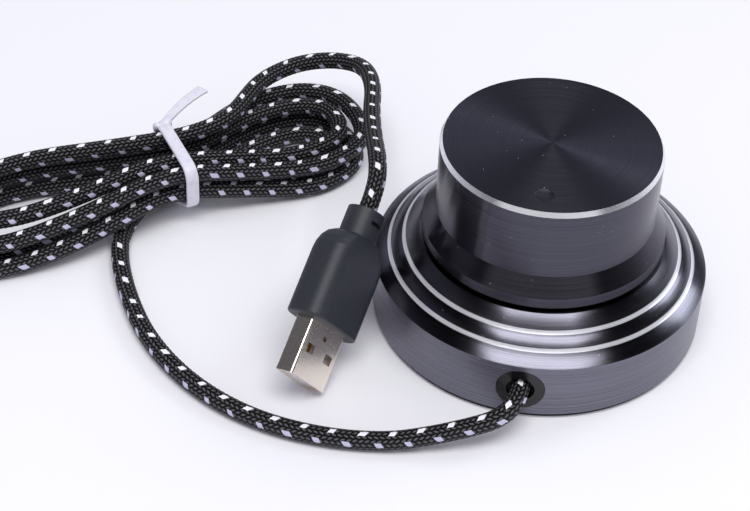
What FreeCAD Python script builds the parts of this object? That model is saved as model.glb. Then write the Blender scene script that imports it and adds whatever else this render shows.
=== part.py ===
import FreeCAD, Part
import math
import os

# USB volume control knob with its cord laid in a tied hank.
# Origin: centre of the underside of the foot pad. +Z is up and the cord leaves toward -Y.
# All lengths are in millimetres.

V = FreeCAD.Vector
UP = V(0, 0, 1)
CUT_OVERRUN = 1.0
STATIC_GAP = 0.05
RUNNING_GAP = 0.05
SEAT_GAP = 0.02

# Base housing
BASE_R = 35.0
FOOT_INSET = 0.7
FOOT_T = 0.8
BASE_WALL_TOP = 13.8
BASE_EDGE_CHAMFER = 0.4
BASE_WALL_T = 4.0
CONE_W = 9.15
CONE_TOP = 20.37
DECK_TOP = 19.6
DECK_T = 2.4
CONE_WALL_T = 3.0
GROOVE_INSETS = (3.0, 6.0)
GROOVE_W = 0.8
GROOVE_DEPTH = 0.4

# Bottom plate and its screws
PLATE_INSET = 3.0
PLATE_T = 1.6
PLATE_SCREW_COUNT = 4
PLATE_SCREW_INSET = 6.8
PLATE_BOSS_R = 3.6
BOSS_ROOT = 1.0
SCREW_R = 1.5
SCREW_L = 7.0
SCREW_HEAD_R = 2.8
SCREW_HEAD_T = 1.5
SCREW_DRIVE_R = 0.9
SCREW_DRIVE_DEPTH = 0.8

# Knob
KNOB_R = 22.8
KNOB_FLANGE_R = 25.37
KNOB_BOTTOM = 21.07
KNOB_FLANGE_EDGE_H = 2.62
KNOB_SKIRT_TOP = 27.46
KNOB_CHAMFER_BOTTOM = 42.52
KNOB_FACE_R = 22.21
KNOB_TOP = 43.55
KNOB_WALL_T = 3.3
KNOB_FACE_T = 3.75
KNOB_EDGE_CHAMFER = 0.3
KNOB_BOSS_R = 10.0
KNOB_BOSS_H = 9.0
DIMPLE_R = 2.0
DIMPLE_DEPTH = 0.35
DIMPLE_RING_R = 17.2
DIMPLE_ANGLE = -90.0
PRESS_TRAVEL = 0.5

# Knob hub insert
HUB_R = 7.0
HUB_FLANGE_R = 9.2
HUB_FLANGE_T = 1.6
HUB_L = 13.0
HUB_RIB_COUNT = 6
HUB_RIB_T = 1.2

# Shaft
SHAFT_R = 3.0
SHAFT_FLAT = 1.5
SHAFT_FLAT_L = 10.5
SHAFT_TIP_CHAMFER = 0.4
SHAFT_TIP_GAP = 0.3
CLIP_GROOVE_R = 2.5

# Encoder
ENCODER_W = 12.4
ENCODER_D = 13.2
HOUSING_H = 5.0
HOUSING_FLOOR_T = 2.1
HOUSING_BORE_R = 5.2
BUSH_PLATE_T = 1.5
BUSH_R = 3.5
BUSH_L = 7.0
BUSH_FLANK_CHAMFER = 0.4
DECK_HOLE_R = 3.6
WASHER_R = 5.5
WASHER_T = 0.5
NUT_AF = 10.0
NUT_T = 2.0
ROTOR_R = 4.9
ROTOR_T = 1.5
ROTOR_TOP_GAP = 0.3
DETENT_COUNT = 20
DETENT_R = 0.28
SPRING_T = 0.2
SPRING_INNER_R = 3.5
SPRING_R = 5.0
CLIP_R = 3.9
CLIP_T = 0.3
CLIP_GAP = 0.1
CLIP_MOUTH_W = 3.2
BRACKET_T = 0.4
BRACKET_SIDE_W = 7.0
BRACKET_LUG_W = 2.0
BRACKET_LUG_L = 2.4
SWITCH_PIT_R = 2.8
SWITCH_BASE_R = 3.6
SWITCH_BASE_T = 0.6
GUIDE_T = 0.5
PLUNGER_R = 2.05
PLUNGER_FLANGE_R = 2.6
PLUNGER_FLANGE_T = 0.3
DOME_R = 2.5
DOME_T = 0.1
TERMINAL_W = 0.8
TERMINAL_T = 0.4
TERMINAL_L = 4.2
TERMINAL_PITCH = 2.5
TERMINAL_SPREAD = 7.0

# Circuit board and what is soldered on it
BOARD_INSET = 13.0
BOARD_T = 1.6
BOARD_SCREW_COUNT = 3
BOARD_SCREW_INSET = 4.5
BOARD_SCREW_START = 90.0
BOARD_BOSS_R = 2.9
BOARD_SCREW_R = 1.2
BOARD_SCREW_L = 5.0
BOARD_SCREW_HEAD_R = 2.4
BOARD_SCREW_HEAD_T = 1.4
CHIP_W = 7.0
CHIP_T = 1.4
CHIP_X = -12.0
CHIP_Y = 3.0
CHIP_LEG_W = 0.3
CHIP_LEG_L = 1.0
CHIP_LEG_T = 0.2
CHIP_LEG_PITCH = 0.8
CHIP_LEG_COUNT = 8
CHIP_STANDOFF = 0.1
CRYSTAL_L = 11.0
CRYSTAL_W = 4.6
CRYSTAL_H = 3.4
CRYSTAL_X = 11.5
CRYSTAL_Y = 1.0
HEADER_W = 12.0
HEADER_D = 5.5
HEADER_H = 4.6
HEADER_WALL = 0.9
HEADER_INSET = 9.0
CONNECTOR_D = 6.0
CONNECTOR_INSET = 3.5
CONNECTOR_SIDE_GAP = 0.15

# Cord exit
CORD_Z = 7.6
CORD_R = 1.95
CORD_SIDES = 8
GLAND_R = 5.0
GLAND_INNER_R = 6.0
GLAND_INNER_T = 1.6
GLAND_MOUTH_R = 2.9
GLAND_MOUTH_DEPTH = 2.0
CORD_END_GAP = 2.0
WIRE_COUNT = 4
WIRE_W = 0.8
WIRE_PITCH = 1.4
WIRE_START_PITCH = 0.85
STOP_TIE_W = 2.4
STOP_TIE_T = 1.0
STOP_HEAD_W = 3.4
STOP_HEAD_H = 3.0
STOP_GAP = 0.4

# Plug, in its own frame: +Y runs from the tip to the neck, X is the wide way
SHELL_W = 12.0
SHELL_H = 4.5
SHELL_T = 0.3
SHELL_CORNER_R = 0.6
SHELL_SHOWN_L = 12.0
SHELL_HELD_L = 5.0
SHELL_HOLE_W = 2.4
SHELL_HOLE_L = 2.0
SHELL_HOLE_X = 3.2
SHELL_HOLE_Y = 6.2
SHELL_STOP_R = 0.6
SHELL_STOP_Y = 9.6
TONGUE_T = 1.9
TONGUE_SETBACK = 0.6
CONTACT_W = 1.0
CONTACT_T = 0.2
CONTACT_L = 7.4
CONTACT_PITCH = 2.3
CONTACT_COUNT = 4
MOULD_W = 17.0
MOULD_H = 9.4
MOULD_CORNER_R = 3.4
MOULD_STRAIGHT_L = 14.0
MOULD_SHOULDER_L = 6.0
MOULD_EDGE_R = 0.5
NECK_R = 4.0
NECK_L = 6.0
NECK_SLOT_W = 3.4
NECK_SLOT_T = 0.9
NECK_SLOT_DEPTH = 1.2
NECK_SLOT_SETBACK = 2.6
NECK_SECTION_SHARE = 0.98
SHOULDER_SECTION_COUNT = 5
PLUG_TIP = V(-44.26, -38.81, 5.33)
PLUG_AXIS_AZIMUTH = 75.77
PLUG_AXIS_RISE = 31.58
PLUG_ROLL = 68.46

# Free stretches of the cord: chosen points, joined by straight runs and tangent arcs
ROUND_SHARE = 0.45
LEAD_POINTS = (
    (0.0, -38.4, 7.6), (-3.2, -42.9, 6.5), (-9.0, -45.0, 5.0), (-15.8, -46.9, 3.4), (-25.0, -49.2, 1.97),
    (-38.5, -50.2, 1.97), (-53.0, -47.6, 1.97), (-66.5, -40.6, 1.97), (-78.0, -29.8, 1.97),
    (-86.0, -16.8, 1.97), (-91.0, -5.0, 1.97), (-92.4, 3.6, 1.97))
TAIL_POINTS = (
    (-74.4, 36.2, 12.9), (-72.9, 42.4, 12.9), (-71.7, 49.1, 12.3), (-68.6, 55.0, 12.1), (-63.3, 59.0, 12.9),
    (-56.7, 60.1, 14.1), (-50.5, 58.1, 15.7), (-46.0, 53.4, 17.4), (-42.9, 42.7, 20.3), (-41.4, 30.0, 23.0),
    (-38.9, 17.5, 25.5), (-35.9, 4.4, 29.8))
HANK_LEAD_RUN = 8.0
HANK_TAIL_RUN = 5.0
PLUG_TAIL_RUN = 6.0

# Hank: one tube wound in four bow-tie loops and drawn in at the tie
HANK_X = -86.0
HANK_Y = 22.4
HANK_TURN = 35.0
HANK_HALF_L = 57.0
HANK_SHIFT = -9.0
HANK_L_STEP = 4.9
HANK_FULLNESS_SHARE = 0.37
HANK_LEFT_HALF_W = 16.2
HANK_LEFT_STEP = 5.05
HANK_TOP_WIDENING = 2.8
HANK_RIGHT_HALF_W = 24.5
HANK_RIGHT_STEP = 7.4
HANK_WAIST_L = 19.5
HANK_WAIST_PITCH = 4.65
HANK_WAIST_LANES = 1.97
HANK_WAIST_BEND = -3.2
HANK_TOP_BEND = 4.0
HANK_NEST_LANES = 0.27
HANK_LAYER_PITCH = 4.95
HANK_BEND = -0.8
HANK_BEND_TILT = -0.4
HANK_LAYER_BEND = 1.6
HANK_START = 0.20
HANK_LOOPS = 4
HANK_CLIMB = 0.4
HANK_CLIMB_LATE = 0.25
HANK_BRIDGE_U = -8.5
HANK_BRIDGE_L = 37.0
HANK_BRIDGE_H = 5.55
HANK_TIE_LIFT = 1.2
HANK_FLOOR_GAP = 0.02
HANK_FOLD = 0.06
HANK_SPANS_PER_LOOP = 16
HANK_MEASURE_POINTS = 1500
HANK_NEAR_SHARE = 7.0

# Tie round the waist of the hank
TIE_W = 2.9
TIE_T = 0.8
TIE_GAP = 0.6
TIE_CORNER_L = 0.6
TIE_TWIST_R = 1.3
TIE_TWIST_L = 4.0
TIE_LEAD_SAMPLES = 40
TIE_END_W = 2.2
TIE_END_L = 15.0
TIE_END_RISE = 7.0
TIE_END_TURN = -56.0

# Sizes and heights that follow from the sizes above
FOOT_R = BASE_R - FOOT_INSET
CONE_INNER_R = BASE_R - CONE_W
PLATE_R = BASE_R - PLATE_INSET
PLATE_SCREW_RING_R = BASE_R - PLATE_SCREW_INSET
BOARD_R = BASE_R - BOARD_INSET
BOARD_SCREW_RING_R = BOARD_R - BOARD_SCREW_INSET
HEADER_Y = HEADER_INSET - BOARD_R
DECK_UNDER = DECK_TOP - DECK_T
BASE_BOTTOM = FOOT_T
PLATE_TOP = BASE_BOTTOM + PLATE_T
BUSH_PLATE_TOP = DECK_UNDER - BRACKET_T - 2 * SEAT_GAP
BUSH_PLATE_BOTTOM = BUSH_PLATE_TOP - BUSH_PLATE_T
HOUSING_BOTTOM = BUSH_PLATE_BOTTOM - HOUSING_H
HOUSING_FLOOR_TOP = HOUSING_BOTTOM + HOUSING_FLOOR_T
BUSH_TOP = DECK_UNDER + BUSH_L
BOARD_TOP = HOUSING_BOTTOM
BOARD_UNDER = BOARD_TOP - BOARD_T
ROTOR_TOP = BUSH_PLATE_BOTTOM - ROTOR_TOP_GAP
ROTOR_BOTTOM = ROTOR_TOP - ROTOR_T
CLIP_TOP = ROTOR_BOTTOM - CLIP_GAP
SHAFT_BOTTOM = CLIP_TOP - CLIP_T - CLIP_GAP
KNOB_CEILING = KNOB_TOP - KNOB_FACE_T
HUB_BOTTOM = KNOB_CEILING - HUB_L
SHAFT_TOP = KNOB_CEILING - SHAFT_TIP_GAP
LOWER_FLAT_TOP = ROTOR_TOP + PRESS_TRAVEL + CLIP_GAP
INNER_R = BASE_R - BASE_WALL_T
INNER_CONE_TOP_R = CONE_INNER_R - CONE_WALL_T
INNER_CONE_BOTTOM = BASE_WALL_TOP - CONE_WALL_T / 2
CORD_EXIT_Y = -(BASE_R - GLAND_MOUTH_DEPTH)
CORD_INSIDE_END_Y = -(BOARD_R + CORD_END_GAP)
CORD_INSIDE_L = CORD_INSIDE_END_Y - CORD_EXIT_Y
MOULD_L = MOULD_STRAIGHT_L + MOULD_SHOULDER_L + NECK_L
PLUG_L = SHELL_SHOWN_L + MOULD_L


def save(shape, name):
    shape.exportStep("parts/%s.step" % name)


def cylinder(radius, bottom, top, x=0.0, y=0.0):
    """Upright cylinder between two heights."""
    return Part.makeCylinder(radius, top - bottom, V(x, y, bottom))


def box(width, depth, bottom, top, x=0.0, y=0.0):
    """Upright box centred on x and y."""
    return Part.makeBox(width, depth, top - bottom, V(x - width / 2, y - depth / 2, bottom))


def turned(outline):
    """Solid of revolution about the Z axis from (radius, height) corners."""
    corners = [V(r, 0, z) for r, z in outline]
    face = Part.Face(Part.makePolygon(corners + corners[:1]))
    return face.revolve(V(0, 0, 0), UP, 360)


def group(solids):
    return Part.makeCompound(solids)


def ring_places(count, radius, start=0.0):
    """Evenly spaced places on a circle, as (x, y) pairs."""
    places = []
    for i in range(count):
        a = math.radians(start + 360.0 * i / count)
        places.append((radius * math.cos(a), radius * math.sin(a)))
    return places


def plate_screw_places():
    return ring_places(PLATE_SCREW_COUNT, PLATE_SCREW_RING_R, 180.0 / PLATE_SCREW_COUNT)


def board_screw_places():
    return ring_places(BOARD_SCREW_COUNT, BOARD_SCREW_RING_R, BOARD_SCREW_START)


def cone_height(r):
    """Height of the cone's outside at radius r."""
    share = (BASE_R - r) / (BASE_R - CONE_INNER_R)
    return BASE_WALL_TOP + share * (CONE_TOP - BASE_WALL_TOP)


def groove_corners(r):
    """Three corners of a V-groove in the cone, from outside to inside."""
    half = GROOVE_W / 2
    slope = math.atan2(CONE_TOP - BASE_WALL_TOP, BASE_R - CONE_INNER_R)
    run = half * math.cos(slope)
    sink_r = GROOVE_DEPTH * math.sin(slope)
    sink_z = GROOVE_DEPTH * math.cos(slope)
    return [(r + run, cone_height(r + run)), (r - sink_r, cone_height(r) - sink_z), (r - run, cone_height(r - run))]


def base_shell():
    """Turned aluminium housing: wall, grooved cone, sunk deck, and bosses inside."""
    grooves = []
    for inset in GROOVE_INSETS:
        grooves += groove_corners(BASE_R - inset)
    outline = [(PLATE_R, BASE_BOTTOM), (BASE_R - BASE_EDGE_CHAMFER, BASE_BOTTOM)]
    outline += [(BASE_R, BASE_BOTTOM + BASE_EDGE_CHAMFER), (BASE_R, BASE_WALL_TOP)]
    outline += grooves
    outline += [(CONE_INNER_R, CONE_TOP), (CONE_INNER_R, DECK_TOP), (DECK_HOLE_R, DECK_TOP), (DECK_HOLE_R, DECK_UNDER)]
    outline += [(INNER_CONE_TOP_R, DECK_UNDER), (INNER_R, INNER_CONE_BOTTOM), (INNER_R, PLATE_TOP), (PLATE_R, PLATE_TOP)]
    shell = turned(outline)
    inside_of_cone = turned([(0.0, PLATE_TOP), (INNER_R + BOSS_ROOT, PLATE_TOP),
                             (INNER_R + BOSS_ROOT, INNER_CONE_BOTTOM),
                             (INNER_CONE_TOP_R + BOSS_ROOT, DECK_UNDER + BOSS_ROOT), (0.0, DECK_UNDER + BOSS_ROOT)])
    for x, y in plate_screw_places():
        boss = cylinder(PLATE_BOSS_R, PLATE_TOP, DECK_UNDER + BOSS_ROOT, x, y).common(inside_of_cone)
        shell = shell.fuse(boss)
    for x, y in board_screw_places():
        shell = shell.fuse(cylinder(BOARD_BOSS_R, BOARD_TOP, DECK_UNDER + BOSS_ROOT, x, y))
    for x, y in plate_screw_places():
        shell = shell.cut(cylinder(SCREW_R, PLATE_TOP - CUT_OVERRUN, BASE_BOTTOM + SCREW_L + SEAT_GAP, x, y))
    for x, y in board_screw_places():
        shell = shell.cut(cylinder(BOARD_SCREW_R, BOARD_TOP - CUT_OVERRUN, BOARD_UNDER + BOARD_SCREW_L + SEAT_GAP, x, y))
    hole = Part.makeCylinder(GLAND_R + SEAT_GAP, BASE_WALL_T + 2 * CUT_OVERRUN,
                             V(0, -BASE_R - CUT_OVERRUN, CORD_Z), V(0, 1, 0))
    return shell.cut(hole).removeSplitter()


def screw(shank_r, length, head_r, head_t, head_bottom, x, y, countersunk):
    """Screw standing head down, with its drive recess in the underside of the head."""
    shank = cylinder(shank_r - SEAT_GAP, head_bottom + head_t, head_bottom + length, x, y)
    if countersunk:
        head = Part.makeCone(head_r, shank_r - SEAT_GAP, head_t, V(x, y, head_bottom))
    else:
        head = cylinder(head_r, head_bottom, head_bottom + head_t, x, y)
    recess = cylinder(SCREW_DRIVE_R, head_bottom - CUT_OVERRUN, head_bottom + SCREW_DRIVE_DEPTH, x, y)
    return shank.fuse(head).cut(recess).removeSplitter()


def base_plate():
    """Round plate let into the bottom of the housing, countersunk for its screws."""
    plate = cylinder(PLATE_R - STATIC_GAP, BASE_BOTTOM, PLATE_TOP - SEAT_GAP)
    for x, y in plate_screw_places():
        plate = plate.cut(cylinder(SCREW_R + STATIC_GAP, BASE_BOTTOM - CUT_OVERRUN, PLATE_TOP + CUT_OVERRUN, x, y))
        plate = plate.cut(Part.makeCone(SCREW_HEAD_R + SEAT_GAP, SCREW_R + SEAT_GAP, SCREW_HEAD_T,
                                        V(x, y, BASE_BOTTOM)))
    return plate


def plate_screws():
    return group([screw(SCREW_R, SCREW_L, SCREW_HEAD_R, SCREW_HEAD_T, BASE_BOTTOM, x, y, True)
                  for x, y in plate_screw_places()])


def foot_pad():
    """Silicone sheet glued under the housing."""
    return cylinder(FOOT_R, 0.0, FOOT_T)


def dimple_place():
    a = math.radians(DIMPLE_ANGLE)
    return DIMPLE_RING_R * math.cos(a), DIMPLE_RING_R * math.sin(a)


def knob_cap():
    """Turned hollow knob: flange, conical skirt, wall, chamfer, finger dimple and hub socket."""
    edge_top = KNOB_BOTTOM + KNOB_FLANGE_EDGE_H
    inner_r = KNOB_R - KNOB_WALL_T
    boss_bottom = KNOB_CEILING - KNOB_BOSS_H
    cap = turned([(inner_r, KNOB_BOTTOM), (KNOB_FLANGE_R - KNOB_EDGE_CHAMFER, KNOB_BOTTOM),
                  (KNOB_FLANGE_R, KNOB_BOTTOM + KNOB_EDGE_CHAMFER), (KNOB_FLANGE_R, edge_top),
                  (KNOB_R, KNOB_SKIRT_TOP), (KNOB_R, KNOB_CHAMFER_BOTTOM), (KNOB_FACE_R, KNOB_TOP),
                  (0.0, KNOB_TOP), (0.0, KNOB_CEILING), (HUB_R + SEAT_GAP, KNOB_CEILING),
                  (HUB_R + SEAT_GAP, boss_bottom), (KNOB_BOSS_R, boss_bottom), (KNOB_BOSS_R, KNOB_CEILING),
                  (inner_r, KNOB_CEILING)])
    x, y = dimple_place()
    ball_r = (DIMPLE_R ** 2 + DIMPLE_DEPTH ** 2) / (2 * DIMPLE_DEPTH)
    return cap.cut(Part.makeSphere(ball_r, V(x, y, KNOB_TOP - DIMPLE_DEPTH + ball_r)))


def d_bar(radius, flat, bottom, top):
    """Bar with one flat cut off its +Y side at the distance given by flat."""
    bar = cylinder(radius, bottom, top)
    side = box(4 * radius, 2 * radius, bottom, top, 0.0, flat + radius)
    return bar.cut(side)


def knob_hub():
    """Plastic insert pressed into the knob, with a D-shaped bore and stiffening ribs."""
    hub = cylinder(HUB_R, HUB_BOTTOM, KNOB_CEILING - SEAT_GAP)
    flange_top = KNOB_CEILING - KNOB_BOSS_H - SEAT_GAP
    hub = hub.fuse(cylinder(HUB_FLANGE_R, flange_top - HUB_FLANGE_T, flange_top))
    rib_bottom = HUB_BOTTOM
    for i in range(HUB_RIB_COUNT):
        rib = box(2 * HUB_FLANGE_R - HUB_RIB_T, HUB_RIB_T, rib_bottom, flange_top - HUB_FLANGE_T)
        rib.rotate(V(0, 0, 0), UP, 180.0 * i / HUB_RIB_COUNT)
        hub = hub.fuse(rib)
    flat_bottom = SHAFT_TOP - SHAFT_FLAT_L
    bore = cylinder(SHAFT_R + SEAT_GAP, HUB_BOTTOM - CUT_OVERRUN, flat_bottom)
    bore = bore.fuse(d_bar(SHAFT_R + SEAT_GAP, SHAFT_FLAT + SEAT_GAP, flat_bottom, SHAFT_TOP + SEAT_GAP))
    return hub.cut(bore).removeSplitter()


def encoder_shaft():
    """Steel shaft with a flat for the hub, a flat for the rotor and a clip groove."""
    shaft = cylinder(SHAFT_R, SHAFT_BOTTOM, SHAFT_TOP)
    tip = shaft.common(turned([(0.0, SHAFT_BOTTOM), (SHAFT_R, SHAFT_BOTTOM), (SHAFT_R, SHAFT_TOP - SHAFT_TIP_CHAMFER),
                               (SHAFT_R - SHAFT_TIP_CHAMFER, SHAFT_TOP), (0.0, SHAFT_TOP)]))
    upper = box(4 * SHAFT_R, 2 * SHAFT_R, SHAFT_TOP - SHAFT_FLAT_L, SHAFT_TOP + CUT_OVERRUN, 0.0, SHAFT_FLAT + SHAFT_R)
    lower = box(4 * SHAFT_R, 2 * SHAFT_R, SHAFT_BOTTOM - CUT_OVERRUN, LOWER_FLAT_TOP, 0.0, SHAFT_FLAT + SHAFT_R)
    groove = cylinder(SHAFT_R + CUT_OVERRUN, CLIP_TOP - CLIP_T, CLIP_TOP).cut(
        cylinder(CLIP_GROOVE_R, CLIP_TOP - CLIP_T, CLIP_TOP))
    return tip.cut(upper).cut(lower).cut(groove)


def shaft_clip():
    """Open retaining ring snapped into the shaft's groove, below the rotor."""
    bottom = CLIP_TOP - CLIP_T + SEAT_GAP
    top = CLIP_TOP - SEAT_GAP
    ring = cylinder(CLIP_R, bottom, top)
    ring = ring.cut(d_bar(CLIP_GROOVE_R + SEAT_GAP, SHAFT_FLAT + SEAT_GAP, bottom, top))
    return ring.cut(box(CLIP_MOUTH_W, CLIP_R + CUT_OVERRUN, bottom, top, 0.0, -(CLIP_R + CUT_OVERRUN) / 2))


def encoder_bushing():
    """Die-cast bush: square flange under the deck and a threaded neck through it."""
    plate = box(ENCODER_W, ENCODER_D, BUSH_PLATE_BOTTOM, BUSH_PLATE_TOP)
    neck = turned([(0.0, BUSH_PLATE_BOTTOM), (BUSH_R, BUSH_PLATE_BOTTOM), (BUSH_R, BUSH_TOP - BUSH_FLANK_CHAMFER),
                   (BUSH_R - BUSH_FLANK_CHAMFER, BUSH_TOP), (0.0, BUSH_TOP)])
    bore = cylinder(SHAFT_R + RUNNING_GAP, BUSH_PLATE_BOTTOM - CUT_OVERRUN, BUSH_TOP + CUT_OVERRUN)
    return plate.fuse(neck).cut(bore).removeSplitter()


def encoder_washer():
    bottom = DECK_TOP + SEAT_GAP
    return cylinder(WASHER_R, bottom, DECK_TOP + WASHER_T).cut(
        cylinder(BUSH_R + STATIC_GAP, bottom, DECK_TOP + WASHER_T))


def encoder_nut():
    """Flat hexagon nut on the bush's neck, above the deck."""
    bottom = DECK_TOP + WASHER_T + SEAT_GAP
    corner_r = NUT_AF / 2 / math.cos(math.radians(30))
    corners = [V(x, y, bottom) for x, y in ring_places(6, corner_r)]
    hexagon = Part.Face(Part.makePolygon(corners + corners[:1])).extrude(V(0, 0, NUT_T))
    rounded = Part.makeCone(corner_r + NUT_T, NUT_AF / 2 - SEAT_GAP, corner_r + NUT_T - NUT_AF / 2 + SEAT_GAP,
                            V(0, 0, bottom + NUT_T - corner_r - NUT_T + NUT_AF / 2 - SEAT_GAP))
    nut = hexagon.common(rounded)
    return nut.cut(cylinder(BUSH_R + SEAT_GAP, bottom, bottom + NUT_T))


def encoder_housing():
    """Moulded encoder body: rotor chamber above, switch pit and plunger guide in its floor."""
    body = box(ENCODER_W, ENCODER_D, HOUSING_BOTTOM, BUSH_PLATE_BOTTOM - SEAT_GAP)
    body = body.cut(cylinder(HOUSING_BORE_R, HOUSING_FLOOR_TOP, BUSH_PLATE_BOTTOM + CUT_OVERRUN))
    body = body.cut(cylinder(SWITCH_BASE_R, HOUSING_BOTTOM - CUT_OVERRUN, HOUSING_BOTTOM + SWITCH_BASE_T))
    body = body.cut(cylinder(SWITCH_PIT_R, HOUSING_BOTTOM, HOUSING_FLOOR_TOP - GUIDE_T))
    return body.cut(cylinder(PLUNGER_R + RUNNING_GAP, HOUSING_BOTTOM, HOUSING_FLOOR_TOP + CUT_OVERRUN))


def encoder_bracket():
    """Sheet-steel clip over the bush and the housing, with a lug through the board on each side."""
    inner = ENCODER_W / 2 + SEAT_GAP
    top = DECK_UNDER - SEAT_GAP
    bracket = box(2 * (inner + BRACKET_T), BRACKET_SIDE_W, top - BRACKET_T, top)
    bracket = bracket.cut(cylinder(BUSH_R + STATIC_GAP, top - BRACKET_T, top))
    for side in (-1, 1):
        x = side * (inner + BRACKET_T / 2)
        bracket = bracket.fuse(box(BRACKET_T, BRACKET_SIDE_W, HOUSING_BOTTOM, top, x))
        bracket = bracket.fuse(box(BRACKET_T, BRACKET_LUG_W, HOUSING_BOTTOM - BRACKET_LUG_L, top, x))
    return bracket.removeSplitter()


def encoder_rotor():
    """Contact rotor with a D-shaped hole for the shaft and a ring of detent notches on top."""
    rotor = cylinder(ROTOR_R, ROTOR_BOTTOM, ROTOR_TOP)
    rotor = rotor.cut(d_bar(SHAFT_R + RUNNING_GAP, SHAFT_FLAT + RUNNING_GAP, ROTOR_BOTTOM - CUT_OVERRUN,
                            ROTOR_TOP + CUT_OVERRUN))
    notch_l = ROTOR_R - SPRING_INNER_R + CUT_OVERRUN
    notches = []
    for i in range(DETENT_COUNT):
        notch = Part.makeCylinder(DETENT_R, notch_l, V(SPRING_INNER_R, 0, ROTOR_TOP + DETENT_R / 2), V(1, 0, 0))
        notch.rotate(V(0, 0, 0), UP, 360.0 * i / DETENT_COUNT)
        notches.append(notch)
    return rotor.cut(group(notches))


def detent_spring():
    """Flat spring washer under the bush, with a dimple that clicks in the rotor's notches."""
    top = BUSH_PLATE_BOTTOM - SEAT_GAP
    ring = cylinder(SPRING_R, top - SPRING_T, top)
    return ring.cut(cylinder(SPRING_INNER_R, top - SPRING_T - CUT_OVERRUN, top + CUT_OVERRUN))


def switch_base():
    """Disc that closes the switch pit from below."""
    return cylinder(SWITCH_BASE_R - SEAT_GAP, HOUSING_BOTTOM + SEAT_GAP, HOUSING_BOTTOM + SWITCH_BASE_T - SEAT_GAP)


def switch_dome():
    """Thin snap dome on the switch base."""
    bottom = HOUSING_BOTTOM + SWITCH_BASE_T
    return cylinder(DOME_R, bottom, bottom + DOME_T)


def switch_plunger():
    """Pusher between the shaft's end and the snap dome."""
    flange_top = HOUSING_FLOOR_TOP - GUIDE_T - RUNNING_GAP
    flange = cylinder(PLUNGER_FLANGE_R, flange_top - PLUNGER_FLANGE_T, flange_top)
    return flange.fuse(cylinder(PLUNGER_R, flange_top, SHAFT_BOTTOM - RUNNING_GAP)).removeSplitter()


def terminal_places():
    """Three terminals on the front edge of the encoder and two on the back."""
    places = [(i * TERMINAL_PITCH, -TERMINAL_SPREAD) for i in (-1, 0, 1)]
    places += [(i * TERMINAL_PITCH, TERMINAL_SPREAD) for i in (-1, 1)]
    return places


def encoder_terminals():
    """Bent terminals that run from the housing's edge down through the board."""
    top = HOUSING_BOTTOM + HOUSING_FLOOR_T
    pins = []
    for x, y in terminal_places():
        inner = math.copysign(ENCODER_D / 2 + SEAT_GAP, y)
        arm = box(TERMINAL_W, abs(y - inner) + TERMINAL_T / 2, top - TERMINAL_T, top, x,
                  (inner + y + math.copysign(TERMINAL_T / 2, y)) / 2)
        leg = box(TERMINAL_W, TERMINAL_T, top - TERMINAL_L, top, x, y)
        pins.append(arm.fuse(leg).removeSplitter())
    return group(pins)


def circuit_board():
    """Round board under the encoder, drilled for its screws and terminals."""
    board = cylinder(BOARD_R, BOARD_UNDER, BOARD_TOP - SEAT_GAP)
    for x, y in board_screw_places():
        board = board.cut(cylinder(BOARD_SCREW_R + STATIC_GAP, BOARD_UNDER - CUT_OVERRUN, BOARD_TOP, x, y))
    for x, y in terminal_places():
        board = board.cut(box(TERMINAL_W + 2 * STATIC_GAP, TERMINAL_T + 2 * STATIC_GAP, BOARD_UNDER - CUT_OVERRUN,
                              BOARD_TOP, x, y))
    for side in (-1, 1):
        slot = box(BRACKET_T + 2 * STATIC_GAP, BRACKET_LUG_W + 2 * STATIC_GAP, BOARD_UNDER - CUT_OVERRUN, BOARD_TOP,
                   side * (ENCODER_W / 2 + SEAT_GAP + BRACKET_T / 2))
        board = board.cut(slot)
    return board


def board_screws():
    bottom = BOARD_UNDER - BOARD_SCREW_HEAD_T
    return group([screw(BOARD_SCREW_R, BOARD_SCREW_L, BOARD_SCREW_HEAD_R, BOARD_SCREW_HEAD_T, bottom, x, y, False)
                  for x, y in board_screw_places()])


def controller_chip():
    """Square chip soldered under the board, with a row of legs on each side."""
    top = BOARD_UNDER - CHIP_STANDOFF
    chip = box(CHIP_W, CHIP_W, top - CHIP_T, top, CHIP_X, CHIP_Y)
    for side in range(4):
        for i in range(CHIP_LEG_COUNT):
            along = (i - (CHIP_LEG_COUNT - 1) / 2) * CHIP_LEG_PITCH
            leg = box(CHIP_LEG_L, CHIP_LEG_W, BOARD_UNDER - CHIP_LEG_T - SEAT_GAP, BOARD_UNDER - SEAT_GAP,
                      CHIP_X + CHIP_W / 2 + CHIP_LEG_L / 2 - SEAT_GAP, CHIP_Y + along)
            leg.rotate(V(CHIP_X, CHIP_Y, 0), UP, 90.0 * side)
            chip = chip.fuse(leg)
    return chip


def crystal():
    """Clock crystal can lying under the board."""
    top = BOARD_UNDER - SEAT_GAP
    can = box(CRYSTAL_W, CRYSTAL_L, top - CRYSTAL_H, top, CRYSTAL_X, CRYSTAL_Y)
    upright = [e for e in can.Edges if abs(e.tangentAt(e.FirstParameter).z) > abs(e.tangentAt(e.FirstParameter).x)
               + abs(e.tangentAt(e.FirstParameter).y)]
    return can.makeFillet(CRYSTAL_W / 2 - CRYSTAL_W / 20, upright)


def board_header():
    """Socket under the board, open toward the cord exit."""
    top = BOARD_UNDER - SEAT_GAP
    socket = box(HEADER_W, HEADER_D, top - HEADER_H, top, 0.0, HEADER_Y)
    mouth_w = HEADER_W - 2 * HEADER_WALL
    mouth = box(mouth_w, HEADER_D, top - HEADER_H + HEADER_WALL, top - HEADER_WALL, 0.0, HEADER_Y - HEADER_WALL)
    return socket.cut(mouth)


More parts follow.
